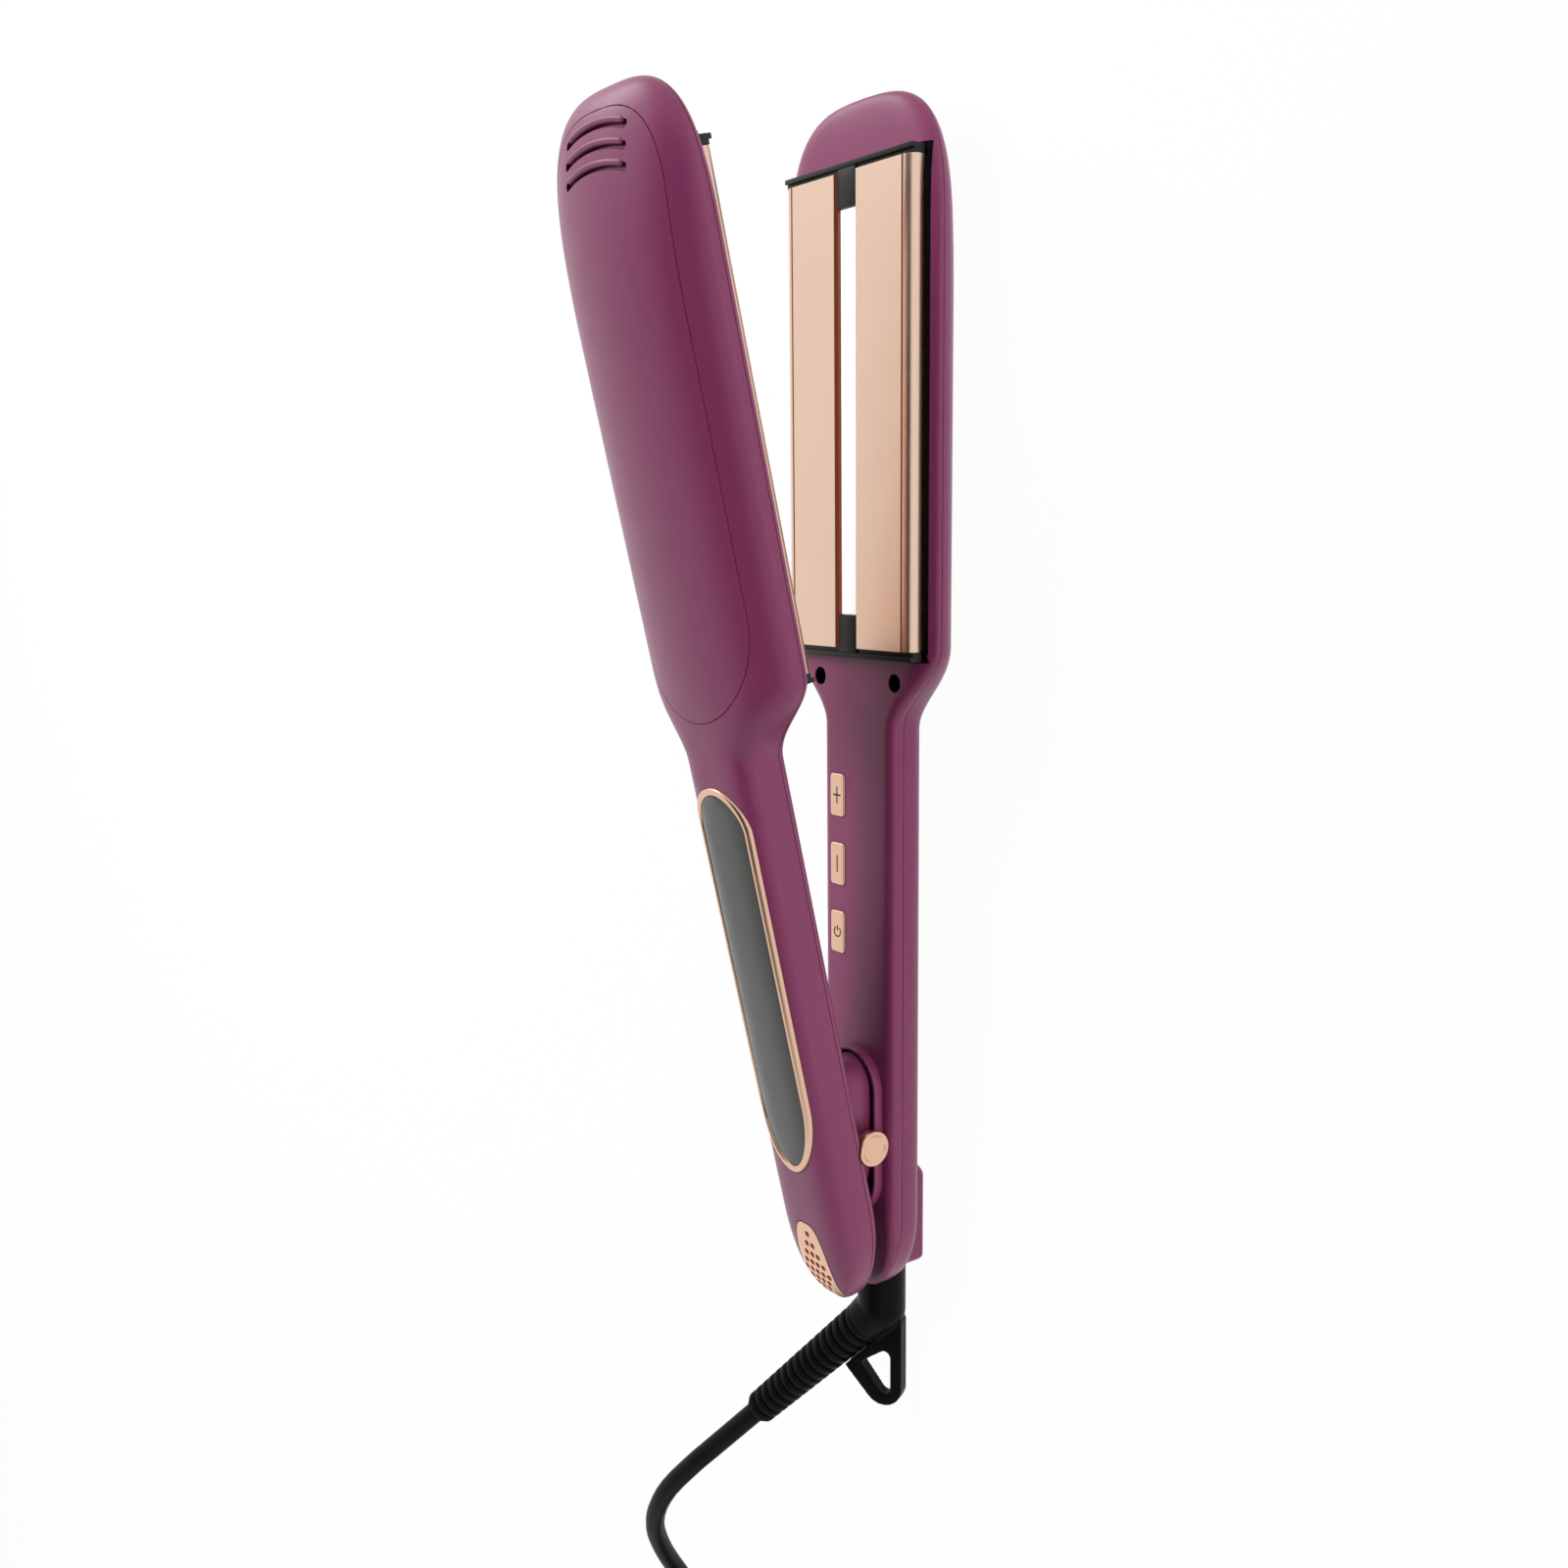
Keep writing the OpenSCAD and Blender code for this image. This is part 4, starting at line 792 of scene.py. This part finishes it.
def housing_top(x):
    rise = mix(HANDLE_D - 0.6, HEAD_D, ease((HOUSING_X1 - x) / HOUSING_RAMP))
    return rise - HOUSING_EDGE * (1 - bow((HOUSING_X0 - x) / HOUSING_EDGE + 1, 2))


def cord_housing():
    """The step on the back of the lower tail, with rounded edges, closed underneath."""
    xs = [HOUSING_X0 + HOUSING_CORNER * (1 - math.cos(math.radians(7.5 * k))) for k in range(12)]
    xs += [mix(HOUSING_X0 + HOUSING_CORNER, HOUSING_X1, k / 24) for k in range(25)]
    turns = [math.radians(10 * k) for k in range(10)]
    loops = []
    for x in xs:
        w, z = housing_half(x), housing_top(x)
        arc = [(w - HOUSING_EDGE * (1 - math.cos(a)), z - HOUSING_EDGE * (1 - math.sin(a)))
               for a in turns]
        loop = [(-y, h) for y, h in arc] + arc[::-1]
        loop = [(-w, HOUSING_BASE)] + loop + [(w, HOUSING_BASE), (-w, HOUSING_BASE)]
        loops.append([Vector((x, y, h)) for y, h in loop])
    nu, nv = len(loops) - 1, len(loops[0]) - 1
    bm = sheet(nu, nv, lambda u, v: loops[round(u * nu)][round(v * nv)])
    bmesh.ops.holes_fill(bm, edges=bm.edges)
    bmesh.ops.recalc_face_normals(bm, faces=bm.faces)
    return bm


def seat_bore():
    """The hole in which the swivel's neck turns."""
    bore_l = 20
    return moved(disc(NECK_D + 2 * SLACK, 0, bore_l, 64),
                 shift(SEAT_X - bore_l, 0, SWIVEL_Z) @ rotation(90, "Y"))


for side, place, up in ARMS:
    cutters = [slab(40, 16, panel_place(PANEL_GAP, up), PANEL_T + 0.1, -CUT_ABOVE)]
    if up:
        cutters.append(slab(40, 12, display_place(-RIM_GAP), BEZEL_T + 0.1, -CUT_ABOVE))
        cutters.append(slab(24, 8, grille_place(GRILLE_GAP), GRILLE_T + 0.05, -1))
    else:
        cutters.append(seat_bore())
        piece(cut(cord_housing(), [seat_bore()]), "cord_housing", place, "lower_arm", "shell")
    back = cut(hollow(back_ring, WALL if up else TAIL_WALL, up), cutters)
    piece(back, side + "_back_shell", place, side + "_arm", "shell", (side + "_outer_shell",))

    cutters = [block(PLATE_X - CAP_L - 0.4, PLATE_X + PLATE_L + CAP_L + 0.4,
                     -PLATE_W / 2 - 0.5, PLATE_W / 2 + 0.5, 0, PART_D + 1)]
    cutters += [moved(disc(SCREW_HOLE_D, 0, SCREW_FLOOR), shift(SCREW_X, y, 0)) for y in SCREW_YS]
    if up:
        recess = disc(KNOB_D + 2 * KNOB_ROOM, KNOB_BACK - KNOB_TRAVEL - 0.3, HANDLE_W / 2 + 3, 48)
        cutters.append(moved(recess, shift(0, 0, HINGE_H) @ rotation(90, "X")))
    else:
        cutters.append(prism(bar(COLLAR_X0, COLLAR_X1, COLLAR_W), 0, PART_D + 1))
        cutters += [moved(prism(tile(BUTTON_L + 2 * SLACK, BUTTON_W + 2 * SLACK, 1.2), 0, 8),
                          shift(x, y, 0)) for x, y in button_places]
        cutters.append(seat_bore())
    front = cut(hollow(front_ring, TAIL_WALL, up), cutters)
    piece(front, side + "_front_shell", place, side + "_arm", "shell", (side + "_inner_shell",))

    # Screw wells: tubes that carry the screw heads, black as painted shade in the screw holes
    wells = []
    for y in SCREW_YS:
        well = spun([(2.1, WELL_TOP), (2.28, WELL_TOP), (2.28, WELL_STEP), (3.4, WELL_STEP),
                     (3.4, WELL_END), (1.3, WELL_END), (1.3, SCREW_FLOOR), (2.1, SCREW_FLOOR),
                     (2.1, WELL_TOP)], 40)
        wells.append(moved(well, shift(SCREW_X, y, 0)))
    piece(joined(*wells), side + "_screw_wells", place, side + "_arm", "black_plastic")

    panel = slab(64, 32, panel_place(0, up), PANEL_T, 0)
    panel = cut(panel, [bent_slot(x) for x in VENT_X])
    panel = joined(panel, *(vent_rib(x, up) for x in VENT_X))
    piece(panel, side + "_back_panel", place, side + "_arm", "shell", (side + "_cover_panel",))

collar = prism(bar(COLLAR_X0 - 1, COLLAR_X1 + 1, COLLAR_W + 2), FACE_D - COLLAR_H, FACE_D + 1)
collar = cut(collar, [prism(bar(COLLAR_X0, COLLAR_X1, COLLAR_W), 0, PART_D + 1)])
piece(soften(collar, 0.35), "hinge_collar", LOWER, "lower_arm", "shell")

hinge_block = soften(prism(bar(-BLOCK_REAR, BLOCK_FRONT, BLOCK_W), -BLOCK_DEEP, FACE_D + 2), 0.8, 4)
piece(hinge_block, "hinge_block", UPPER, "upper_arm", "shell")

# ---- Heater plates ----

SLOT_Y, SLOT_CHAMFER, SLOT_CHAMFER_D = SLOT_W / 2, 0.8, 0.7
GROOVE_Y, GROOVE_W, GROOVE_D = PLATE_W / 2 - PLATE_R - 0.6, 0.5, 0.45
PLATE_Y, PLATE_BACK = PLATE_W / 2, PLATE_Z + PLATE_T
RETURN_T, RETURN_D = 1.4, 1.2
CAP_TOP, CAP_STEP, CAP_D = PLATE_Z + 0.25, 0.8, 5
ALONG = Matrix(((0, 0, 1, 0), (1, 0, 0, 0), (0, 1, 0, 0), (0, 0, 0, 1)))

half_profile = [(0, PLATE_Z + SLOT_D), (SLOT_Y, PLATE_Z + SLOT_D),
                (SLOT_Y, PLATE_Z + SLOT_CHAMFER_D), (SLOT_Y + SLOT_CHAMFER, PLATE_Z),
                (GROOVE_Y, PLATE_Z), (GROOVE_Y + 0.05, PLATE_Z + GROOVE_D),
                (GROOVE_Y + GROOVE_W, PLATE_Z + GROOVE_D)]
half_profile += [(PLATE_Y - PLATE_R * (1 - math.sin(math.radians(9 * k))),
                  PLATE_Z + PLATE_R * (1 - math.cos(math.radians(9 * k)))) for k in range(11)]
half_profile += [(PLATE_Y, PLATE_BACK + RETURN_D), (PLATE_Y - RETURN_T, PLATE_BACK + RETURN_D),
                 (PLATE_Y - RETURN_T, PLATE_BACK)]
plate_profile = half_profile + [(-y, z) for y, z in reversed(half_profile[1:])]


def cap_part(root):
    """The black cap at one end of a plate, with a tongue that fills the slot's end."""
    sign = 1 if root else -1
    x = PLATE_X if root else PLATE_X + PLATE_L

    def part(a, b, y, z0, z1):
        lo, hi = sorted((x + sign * a, x + sign * b))
        return soften(block(lo, hi, -y, y, z0, z1), 0.15, 2)

    return joined(
        part(-CAP_L, -CAP_L / 2, PLATE_Y, CAP_TOP, CAP_TOP + CAP_D),
        part(-CAP_L / 2 - 0.1, -0.05, PLATE_Y, CAP_TOP + CAP_STEP, CAP_TOP + CAP_D),
        part(-CAP_L / 2, CAP_BLOCK, SLOT_Y - 0.05, PLATE_Z + 0.5, PLATE_Z + SLOT_D - 0.05))


def side_shade_strip(up, sign):
    """A black strip along one side of the plate, lying on the front shell: painted shade for the
    gap beside the plate.
    """
    x0, x1 = PLATE_X - CAP_L - 0.3, PLATE_X + PLATE_L + CAP_L + 0.3
    corner_w, corner_h = HEAD_FACE_ROUND

    def strip(u, v, depth):
        x = mix(x0, x1, u)
        w = half_w(x, 0, 0, up)
        y = mix(PLATE_Y + 0.52, min(PLATE_Y + 2, w - 0.6), v)
        across_corner = max(1 - (w - y) / corner_w, 0)
        rise = corner_h * (1 - math.sqrt(max(1 - across_corner ** 2, 0)))
        return Vector((x, sign * y, face_z(x, 0, up) + rise + depth))

    return slab(32, 4, strip, -0.12, 0.3)


# Thin dark copper-coloured strips that lie just over the slot's sides and in the grooves: painted
# shade and painted dark reflection on the plate's edges
slot_edge_shade = [(SLOT_Y + 0.02, PLATE_Z + SLOT_D - 0.05), (SLOT_Y - 0.1, PLATE_Z + SLOT_D - 0.05),
               (SLOT_Y - 0.1, PLATE_Z + 0.66), (SLOT_Y + 0.72, PLATE_Z + 0.02),
               (SLOT_Y + 0.8, PLATE_Z + 0.1), (SLOT_Y + 0.02, PLATE_Z + 0.8)]
groove_edge_shade = [(GROOVE_Y + 0.06, PLATE_Z + 0.25), (GROOVE_Y + 0.49, PLATE_Z + 0.25),
                 (GROOVE_Y + 0.49, PLATE_Z + 0.5), (GROOVE_Y + 0.06, PLATE_Z + 0.5)]

for side, place, up in ARMS:
    plate = extruded(plate_profile, shift(PLATE_X, 0, 0) @ ALONG, Vector((PLATE_L, 0, 0)))
    piece(plate, side + "_plate", place, side + "_plates", "plate", (side + "_heater_plate",), 25)
    for end, root in (("root", True), ("tip", False)):
        piece(cap_part(root), f"{side}_{end}_cap", place, side + "_plates", "black_plastic",
              (f"{side}_plate_{end}_cap",), material=CAP_BLACK)
    window = block(PLATE_X + CAP_BLOCK + 0.1, PLATE_X + PLATE_L - CAP_BLOCK - 0.1,
                   0.3 - SLOT_Y, SLOT_Y - 0.3, PLATE_Z + 1.2, PLATE_Z + SLOT_D - 0.05)
    edge_shade_strips = [extruded([(sign * y, z) for y, z in outline], shift(PLATE_X + 0.05, 0, 0) @ ALONG,
                        Vector((PLATE_L - 0.1, 0, 0)))
               for sign in (-1, 1) for outline in (slot_edge_shade, groove_edge_shade)]
    piece(joined(*edge_shade_strips), side + "_plate_edge_shade_strips", place, side + "_plates", "plate",
          material=PLATE_EDGE_SHADE)
    # Black strips beside the plates: painted shade
    piece(joined(*(side_shade_strip(up, sign) for sign in (-1, 1))), side + "_plate_side_shade_strips", place,
          side + "_arm", "black_plastic")
    piece(soften(window, 0.2), side + "_infrared_window", place, side + "_plates", "infrared_glass",
          (side + "_infrared_lens",))

# ---- Buttons ----

BUTTON_TOP = FACE_D - 0.4
MARK_TOP, MARK_LOW, MARK_R = BUTTON_TOP - 0.03, BUTTON_TOP + 0.1, 0.2
MARK_L, MARK_CROSS, RING_IN, RING_OUT, RING_OPEN = 2.2, 1.5, 1.1, 1.45, 35


def ring_point(u, v):
    """The open ring of the power sign."""
    a = math.radians(mix(RING_OPEN, 360 - RING_OPEN, u))
    k = round(v * 4) % 4
    r = RING_OUT if k in (1, 2) else RING_IN
    return Vector((r * math.cos(a), r * math.sin(a), MARK_TOP if k in (0, 1) else MARK_LOW))


def symbol(kind):
    """The mark on a button, standing just above it."""
    long_bar = block(-MARK_L, MARK_L, -MARK_R, MARK_R, MARK_TOP, MARK_LOW)
    if kind == "minus":
        return long_bar
    if kind == "plus":
        return joined(long_bar, block(-MARK_R, MARK_R, -MARK_CROSS, MARK_CROSS, MARK_TOP, MARK_LOW))
    return joined(moved(long_bar, shift(0.9, 0, 0) @ scaling(0.3, (1, 0, 0))),
                  sheet(40, 4, ring_point))


for (x, y), kind in zip(button_places, ("power", "minus", "plus")):
    cap = soften(prism(tile(BUTTON_L, BUTTON_W, 1), BUTTON_TOP, FACE_D + WALL + 0.8), 0.35, 4)
    moved(cap, shift(x, y, 0))
    piece(cap, kind + "_key", LOWER, kind + "_button", "rose_gold", (kind + "_button",), 25)
    mark = moved(symbol(kind), shift(x, y, 0))
    bmesh.ops.recalc_face_normals(mark, faces=mark.faces)
    piece(mark, kind + "_mark", LOWER, kind + "_button", "black_plastic")

# ---- Display ----

RIM_BASE, RIM_RISE, GLASS_DOME, GLASS_T = 0.15, 0.45, 0.35, 1.4


def rim_point(u, v):
    """The bezel's rounded rim, once round the display."""
    steps = 6
    k = round(v * (steps + 3))
    around = u * 2 if u < 0.5 else 2 - u * 2
    sign = -1 if u < 0.5 else 1
    if k <= steps:
        t = k / steps
        e, rise = BEZEL_RIM * t, RIM_BASE + RIM_RISE * math.sqrt(max(1 - (2 * t - 1) ** 2, 0))
    else:
        e, rise = (BEZEL_RIM, 0, 0)[k - steps - 1], -BEZEL_T if k < steps + 3 else RIM_BASE
    x = display_station(around, e)
    y = sign * display_half(x, e)
    return Vector((x, y, surf_z(x, y, 0, 0, True) + rise))


def glass_place(u, v, depth):
    """The display's window, domed over the rim, or at depth under the surface."""
    x = display_station(u, BEZEL_RIM + 0.05)
    y = display_half(x, BEZEL_RIM + 0.05) * (2 * v - 1)
    rise = 0.1 + GLASS_DOME * (1 - (2 * v - 1) ** 2)
    return Vector((x, y, surf_z(x, y, 0, 0, True) + (-depth if depth else rise)))


piece(sheet(160, 9, rim_point), "display_rim", UPPER, "upper_arm", "rose_gold",
      ("display_bezel",), 50)
piece(slab(60, 24, glass_place, GLASS_T, 0), "display_window", UPPER, "upper_arm",
      "display_glass", ("display_lens",), 50)

# ---- Grille ----

HOLE_D, HOLE_PITCH, HOLE_ROWS, HOLE_EDGE = 1.8, 2.3, 9, 1.2
HOLE_A0, HOLE_ROW_PITCH, HOLE_ROW_BEND = 12, 7, 0.31


def on_back(x, y):
    """A frame on the upper arm's back, with Z out of the surface."""
    d = 0.1
    slope_x = surf_z(x + d, y, 0, 0, True) - surf_z(x - d, y, 0, 0, True)
    slope_y = surf_z(x, y + d, 0, 0, True) - surf_z(x, y - d, 0, 0, True)
    out = Vector((-slope_x, -slope_y, 2 * d)).to_track_quat("Z", "Y").to_matrix().to_4x4()
    return shift(x, y, surf_z(x, y, 0, 0, True)) @ out


# Dark reddish cups in the grille's holes: painted shade inside the holes
holes, hole_shades = [], []
hole_shade_r = HOLE_D / 2 - 0.02
hole_shade_profile = [(0, -1.1), (hole_shade_r, -1.1), (hole_shade_r, -0.12), (hole_shade_r - 0.12, -0.12),
                 (hole_shade_r - 0.12, -0.45), (0, -0.45)]
for k in range(HOLE_ROWS):
    a = math.radians(HOLE_A0 + HOLE_ROW_PITCH * k)
    x = -UPPER_TAIL_START - UPPER_TAIL_ROUND * math.sin(a)
    row_half = GRILLE_W * math.cos((k - HOLE_ROWS // 2) * HOLE_ROW_BEND) - HOLE_EDGE
    for i in range(-2, 3):
        y = (i + (k % 2) / 2) * HOLE_PITCH
        if abs(y) < row_half:
            holes.append(moved(disc(HOLE_D, -3, 3, 20), on_back(x, y)))
            hole_shades.append(moved(spun(hole_shade_profile, 20), on_back(x, y)))
grille = cut(slab(64, 24, grille_place(0), GRILLE_T, -0.1), [joined(*holes)])
piece(grille, "vent_grille", UPPER, "upper_arm", "rose_gold", ("tail_grille",))
piece(joined(*hole_shades), "grille_hole_shades", UPPER, "upper_arm", "rose_gold", material=HOLE_SHADE)

# ---- Lock knob ----

KNOB_R = KNOB_D / 2
knob = spun([(0, 0), (KNOB_R - 0.5, 0), (KNOB_R - 0.15, 0.15), (KNOB_R, 0.5),
             (KNOB_R, KNOB_T - 0.6), (KNOB_R - 0.15, KNOB_T - 0.2), (KNOB_R - 0.5, KNOB_T),
             (KNOB_R - 0.85, KNOB_T), (KNOB_R - 1, KNOB_T - 0.1), (KNOB_R - 1.4, KNOB_T - 0.7),
             (KNOB_R - 1.7, KNOB_T - 0.85), (0, KNOB_T - 0.65)])
stem = spun([(0, -4), (2, -4), (2, 0.1), (0, 0.1)])
knob = moved(joined(knob, stem), shift(0, -KNOB_BACK, HINGE_H) @ rotation(90, "X"))
piece(knob, "lock_button", UPPER, "lock_knob", "rose_gold", ("lock_knob",), 40)

# ---- Swivel neck, hanging loop and strain relief ----

BOOT_WAY = Vector((-40, 34, 17))
BOOT_START, BOOT_D, BOOT_TAPER, BOOT_RIBS, RIB_DIP, LOOP_T = 7, 11.2, 2.2, 16, 0.9, 4
BOOT_L = BOOT_WAY.length - BOOT_START
ELBOW = Vector((-PLATE_MID + ELBOW_X, 0, HEAD_D - SWIVEL_Z))
boot_axis = BOOT_WAY.normalized()
BOOT_FRAME = Matrix.Translation(ELBOW) @ boot_axis.to_track_quat("Z", "Y").to_matrix().to_4x4()
across = Vector((0, BOOT_WAY.y, BOOT_WAY.z)).normalized()
bend_normal = Vector((1, 0, 0)).cross(across)
BEND_PLANE = Matrix((
    (1, across.x, bend_normal.x, ELBOW.x), (0, across.y, bend_normal.y, ELBOW.y),
    (0, across.z, bend_normal.z, ELBOW.z), (0, 0, 0, 1)))


def hull_of(circles, thickness):
    """The outline round several circles, as a slab about the plane."""
    bm = bmesh.new()
    for cx, cy, r in circles:
        for k in range(32):
            a = math.tau * k / 32
            for z in (-thickness / 2, thickness / 2):
                bm.verts.new((cx + r * math.cos(a), cy + r * math.sin(a), z))
    made = bmesh.ops.convex_hull(bm, input=bm.verts)
    loose = {g for g in made["geom_interior"] + made["geom_unused"]
             if isinstance(g, bmesh.types.BMVert)}
    bmesh.ops.delete(bm, geom=list(loose), context="VERTS")
    return bm


# The hanging loop: circles x, y and radius in the plane that the swivel's bend lies in
web = hull_of([(-3, 2 - NECK_D / 2, 2), (-22, 5.6 - NECK_D / 2, 5.6), (-17, 9.3, 1.6)], LOOP_T)
hole = hull_of([(-13.6, -1.6, 1.6), (-22.6, -1.4, 1.8), (-16.9, 4, 1.1)], 2 * LOOP_T)
boot_room = moved(disc(BOOT_D + 0.1, BOOT_START, BOOT_START + 60, 48),
                  BEND_PLANE.inverted() @ BOOT_FRAME)
loop = moved(cut(web, [hole, boot_room]), BEND_PLANE)
barrel = moved(disc(NECK_D, 0, SEAT_X - SLACK - ELBOW_X, 64),
               Matrix.Translation(ELBOW) @ rotation(90, "Y"))
elbow = bmesh.new()
bmesh.ops.create_uvsphere(elbow, u_segments=48, v_segments=32, radius=NECK_D / 2)
bmesh.ops.translate(elbow, verts=elbow.verts, vec=ELBOW)
funnel = moved(cone(NECK_D, BOOT_D + 0.4, 0, BOOT_START, 64), BOOT_FRAME)


def melt(base):
    """Runs the parts of a moulding into one skin with soft inner corners."""
    blend_all = base.modifiers.new("remesh", "REMESH")
    blend_all.mode = "VOXEL"
    blend_all.voxel_size = 0.3
    blend_all.use_smooth_shade = True
    relax = base.modifiers.new("relax", "SMOOTH")
    relax.factor = 0.5
    relax.iterations = 6


neck = modified([stand_in(joined(loop, barrel, elbow, funnel))], melt)
piece(neck, "swivel_elbow", TO_METRES, "cord_swivel", "black_plastic", ("swivel_neck",), 80)

rib_pitch = BOOT_L / BOOT_RIBS
boot_profile = [(0, 0), (BOOT_D / 2, 0)]
for k in range(BOOT_RIBS):
    r = (BOOT_D - BOOT_TAPER * k / BOOT_RIBS) / 2
    for part, dip in ((0.04, 0.15), (0.1, 0), (0.5, 0), (0.57, 0.15), (0.62, RIB_DIP),
                      (0.94, RIB_DIP)):
        boot_profile.append((r - dip, (k + part) * rib_pitch))
boot_profile += [(r - RIB_DIP, BOOT_L), (0, BOOT_L)]
boot = moved(spun(boot_profile), BOOT_FRAME @ shift(0, 0, BOOT_START))
piece(boot, "strain_relief_boot", TO_METRES, "cord_swivel", "black_rubber",
      ("cord_strain_relief",), 50)

# ---- Floor, world and lamps ----


def seen_rays(tree):
    """1 for the rays that show the background: to the camera, in a reflection or through glass."""
    rays = tree.nodes.new("ShaderNodeLightPath")
    total = rays.outputs["Is Camera Ray"]
    for other in ("Is Glossy Ray", "Is Transmission Ray"):
        either = tree.nodes.new("ShaderNodeMath")
        either.operation = "MAXIMUM"
        tree.links.new(total, either.inputs[0])
        tree.links.new(rays.outputs[other], either.inputs[1])
        total = either.outputs[0]
    return total


def backdrop(name, level, shade):
    """A pale surface that the camera sees as white, with the object's shadow kept faint."""
    material, tree, surface = new_material(name)
    surface.inputs["Base Color"].default_value = (level, level, level, 1)
    surface.inputs["Roughness"].default_value = 0.9
    surface.inputs["Specular IOR Level"].default_value = 0
    glow = tree.nodes.new("ShaderNodeEmission")
    glow.inputs["Color"].default_value = (1, 1, 1, 1)
    share = tree.nodes.new("ShaderNodeMath")
    share.operation = "MULTIPLY"
    share.inputs[1].default_value = shade
    both = tree.nodes.new("ShaderNodeMixShader")
    tree.links.new(seen_rays(tree), share.inputs[0])
    tree.links.new(share.outputs[0], both.inputs["Fac"])
    tree.links.new(surface.outputs["BSDF"], both.inputs[1])
    tree.links.new(glow.outputs["Emission"], both.inputs[2])
    tree.links.new(both.outputs["Shader"], tree.nodes["Material Output"].inputs["Surface"])
    return material


floor_bm = bmesh.new()
bmesh.ops.create_grid(floor_bm, x_segments=1, y_segments=1, size=4)
floor_mesh = mesh_of(floor_bm, "floor")
floor_mesh.materials.append(backdrop("pale_floor", 0.95, 0.97))
floor = in_scene("floor", floor_mesh)

black_card, _, card_surface = new_material("black_card")
card_surface.inputs["Base Color"].default_value = (0.02, 0.02, 0.02, 1)
card_surface.inputs["Specular IOR Level"].default_value = 0


def studio_card(name, x0, x1, y0, y1, height):
    """A dark card over the object, out of the camera's sight, for its edges to mirror."""
    bm = bmesh.new()
    corners = (x0, y0), (x0, y1), (x1, y1), (x1, y0)
    bm.faces.new([bm.verts.new((x, y, height)) for x, y in corners])
    mesh = mesh_of(bm, name)
    mesh.materials.append(black_card)
    thing = in_scene(name, mesh)
    thing.visible_camera = False


studio_card("overhead_card", -0.6, 0.3, -0.5, 0.16, 0.6)

world = bpy.data.worlds.new("studio")
bpy.context.scene.world = world
world.use_nodes = True
sky = world.node_tree.nodes["Background"]
level = world.node_tree.nodes.new("ShaderNodeMapRange")
level.inputs["To Min"].default_value = 0.1
level.inputs["To Max"].default_value = 1.0
world.node_tree.links.new(seen_rays(world.node_tree), level.inputs["Value"])
world.node_tree.links.new(level.outputs["Result"], sky.inputs["Strength"])
sky.inputs["Color"].default_value = (1, 1, 1, 1)


LAMP_TARGET = Vector((0, 0, 0.03))


def lamp(name, at, width, height, power, mirrored=False):
    """A softbox turned to the object; mirrored ones show in its reflections."""
    data = bpy.data.lights.new(name, "AREA")
    data.shape = "RECTANGLE"
    data.size = width
    data.size_y = height
    data.energy = power
    thing = in_scene(name, data)
    thing.location = at
    thing.rotation_euler = (Vector(at) - LAMP_TARGET).to_track_quat("Z", "Y").to_euler()
    thing.visible_glossy = mirrored


lamp("key_softbox", (0, -1.3, 0.12), 2.4, 0.4, 20)
lamp("tip_softbox", (1.0, 1.1, 0.7), 0.6, 0.6, 5, mirrored=True)
lamp("fill_softbox", (0.6, 0.7, 1.2), 0.8, 0.8, 26)
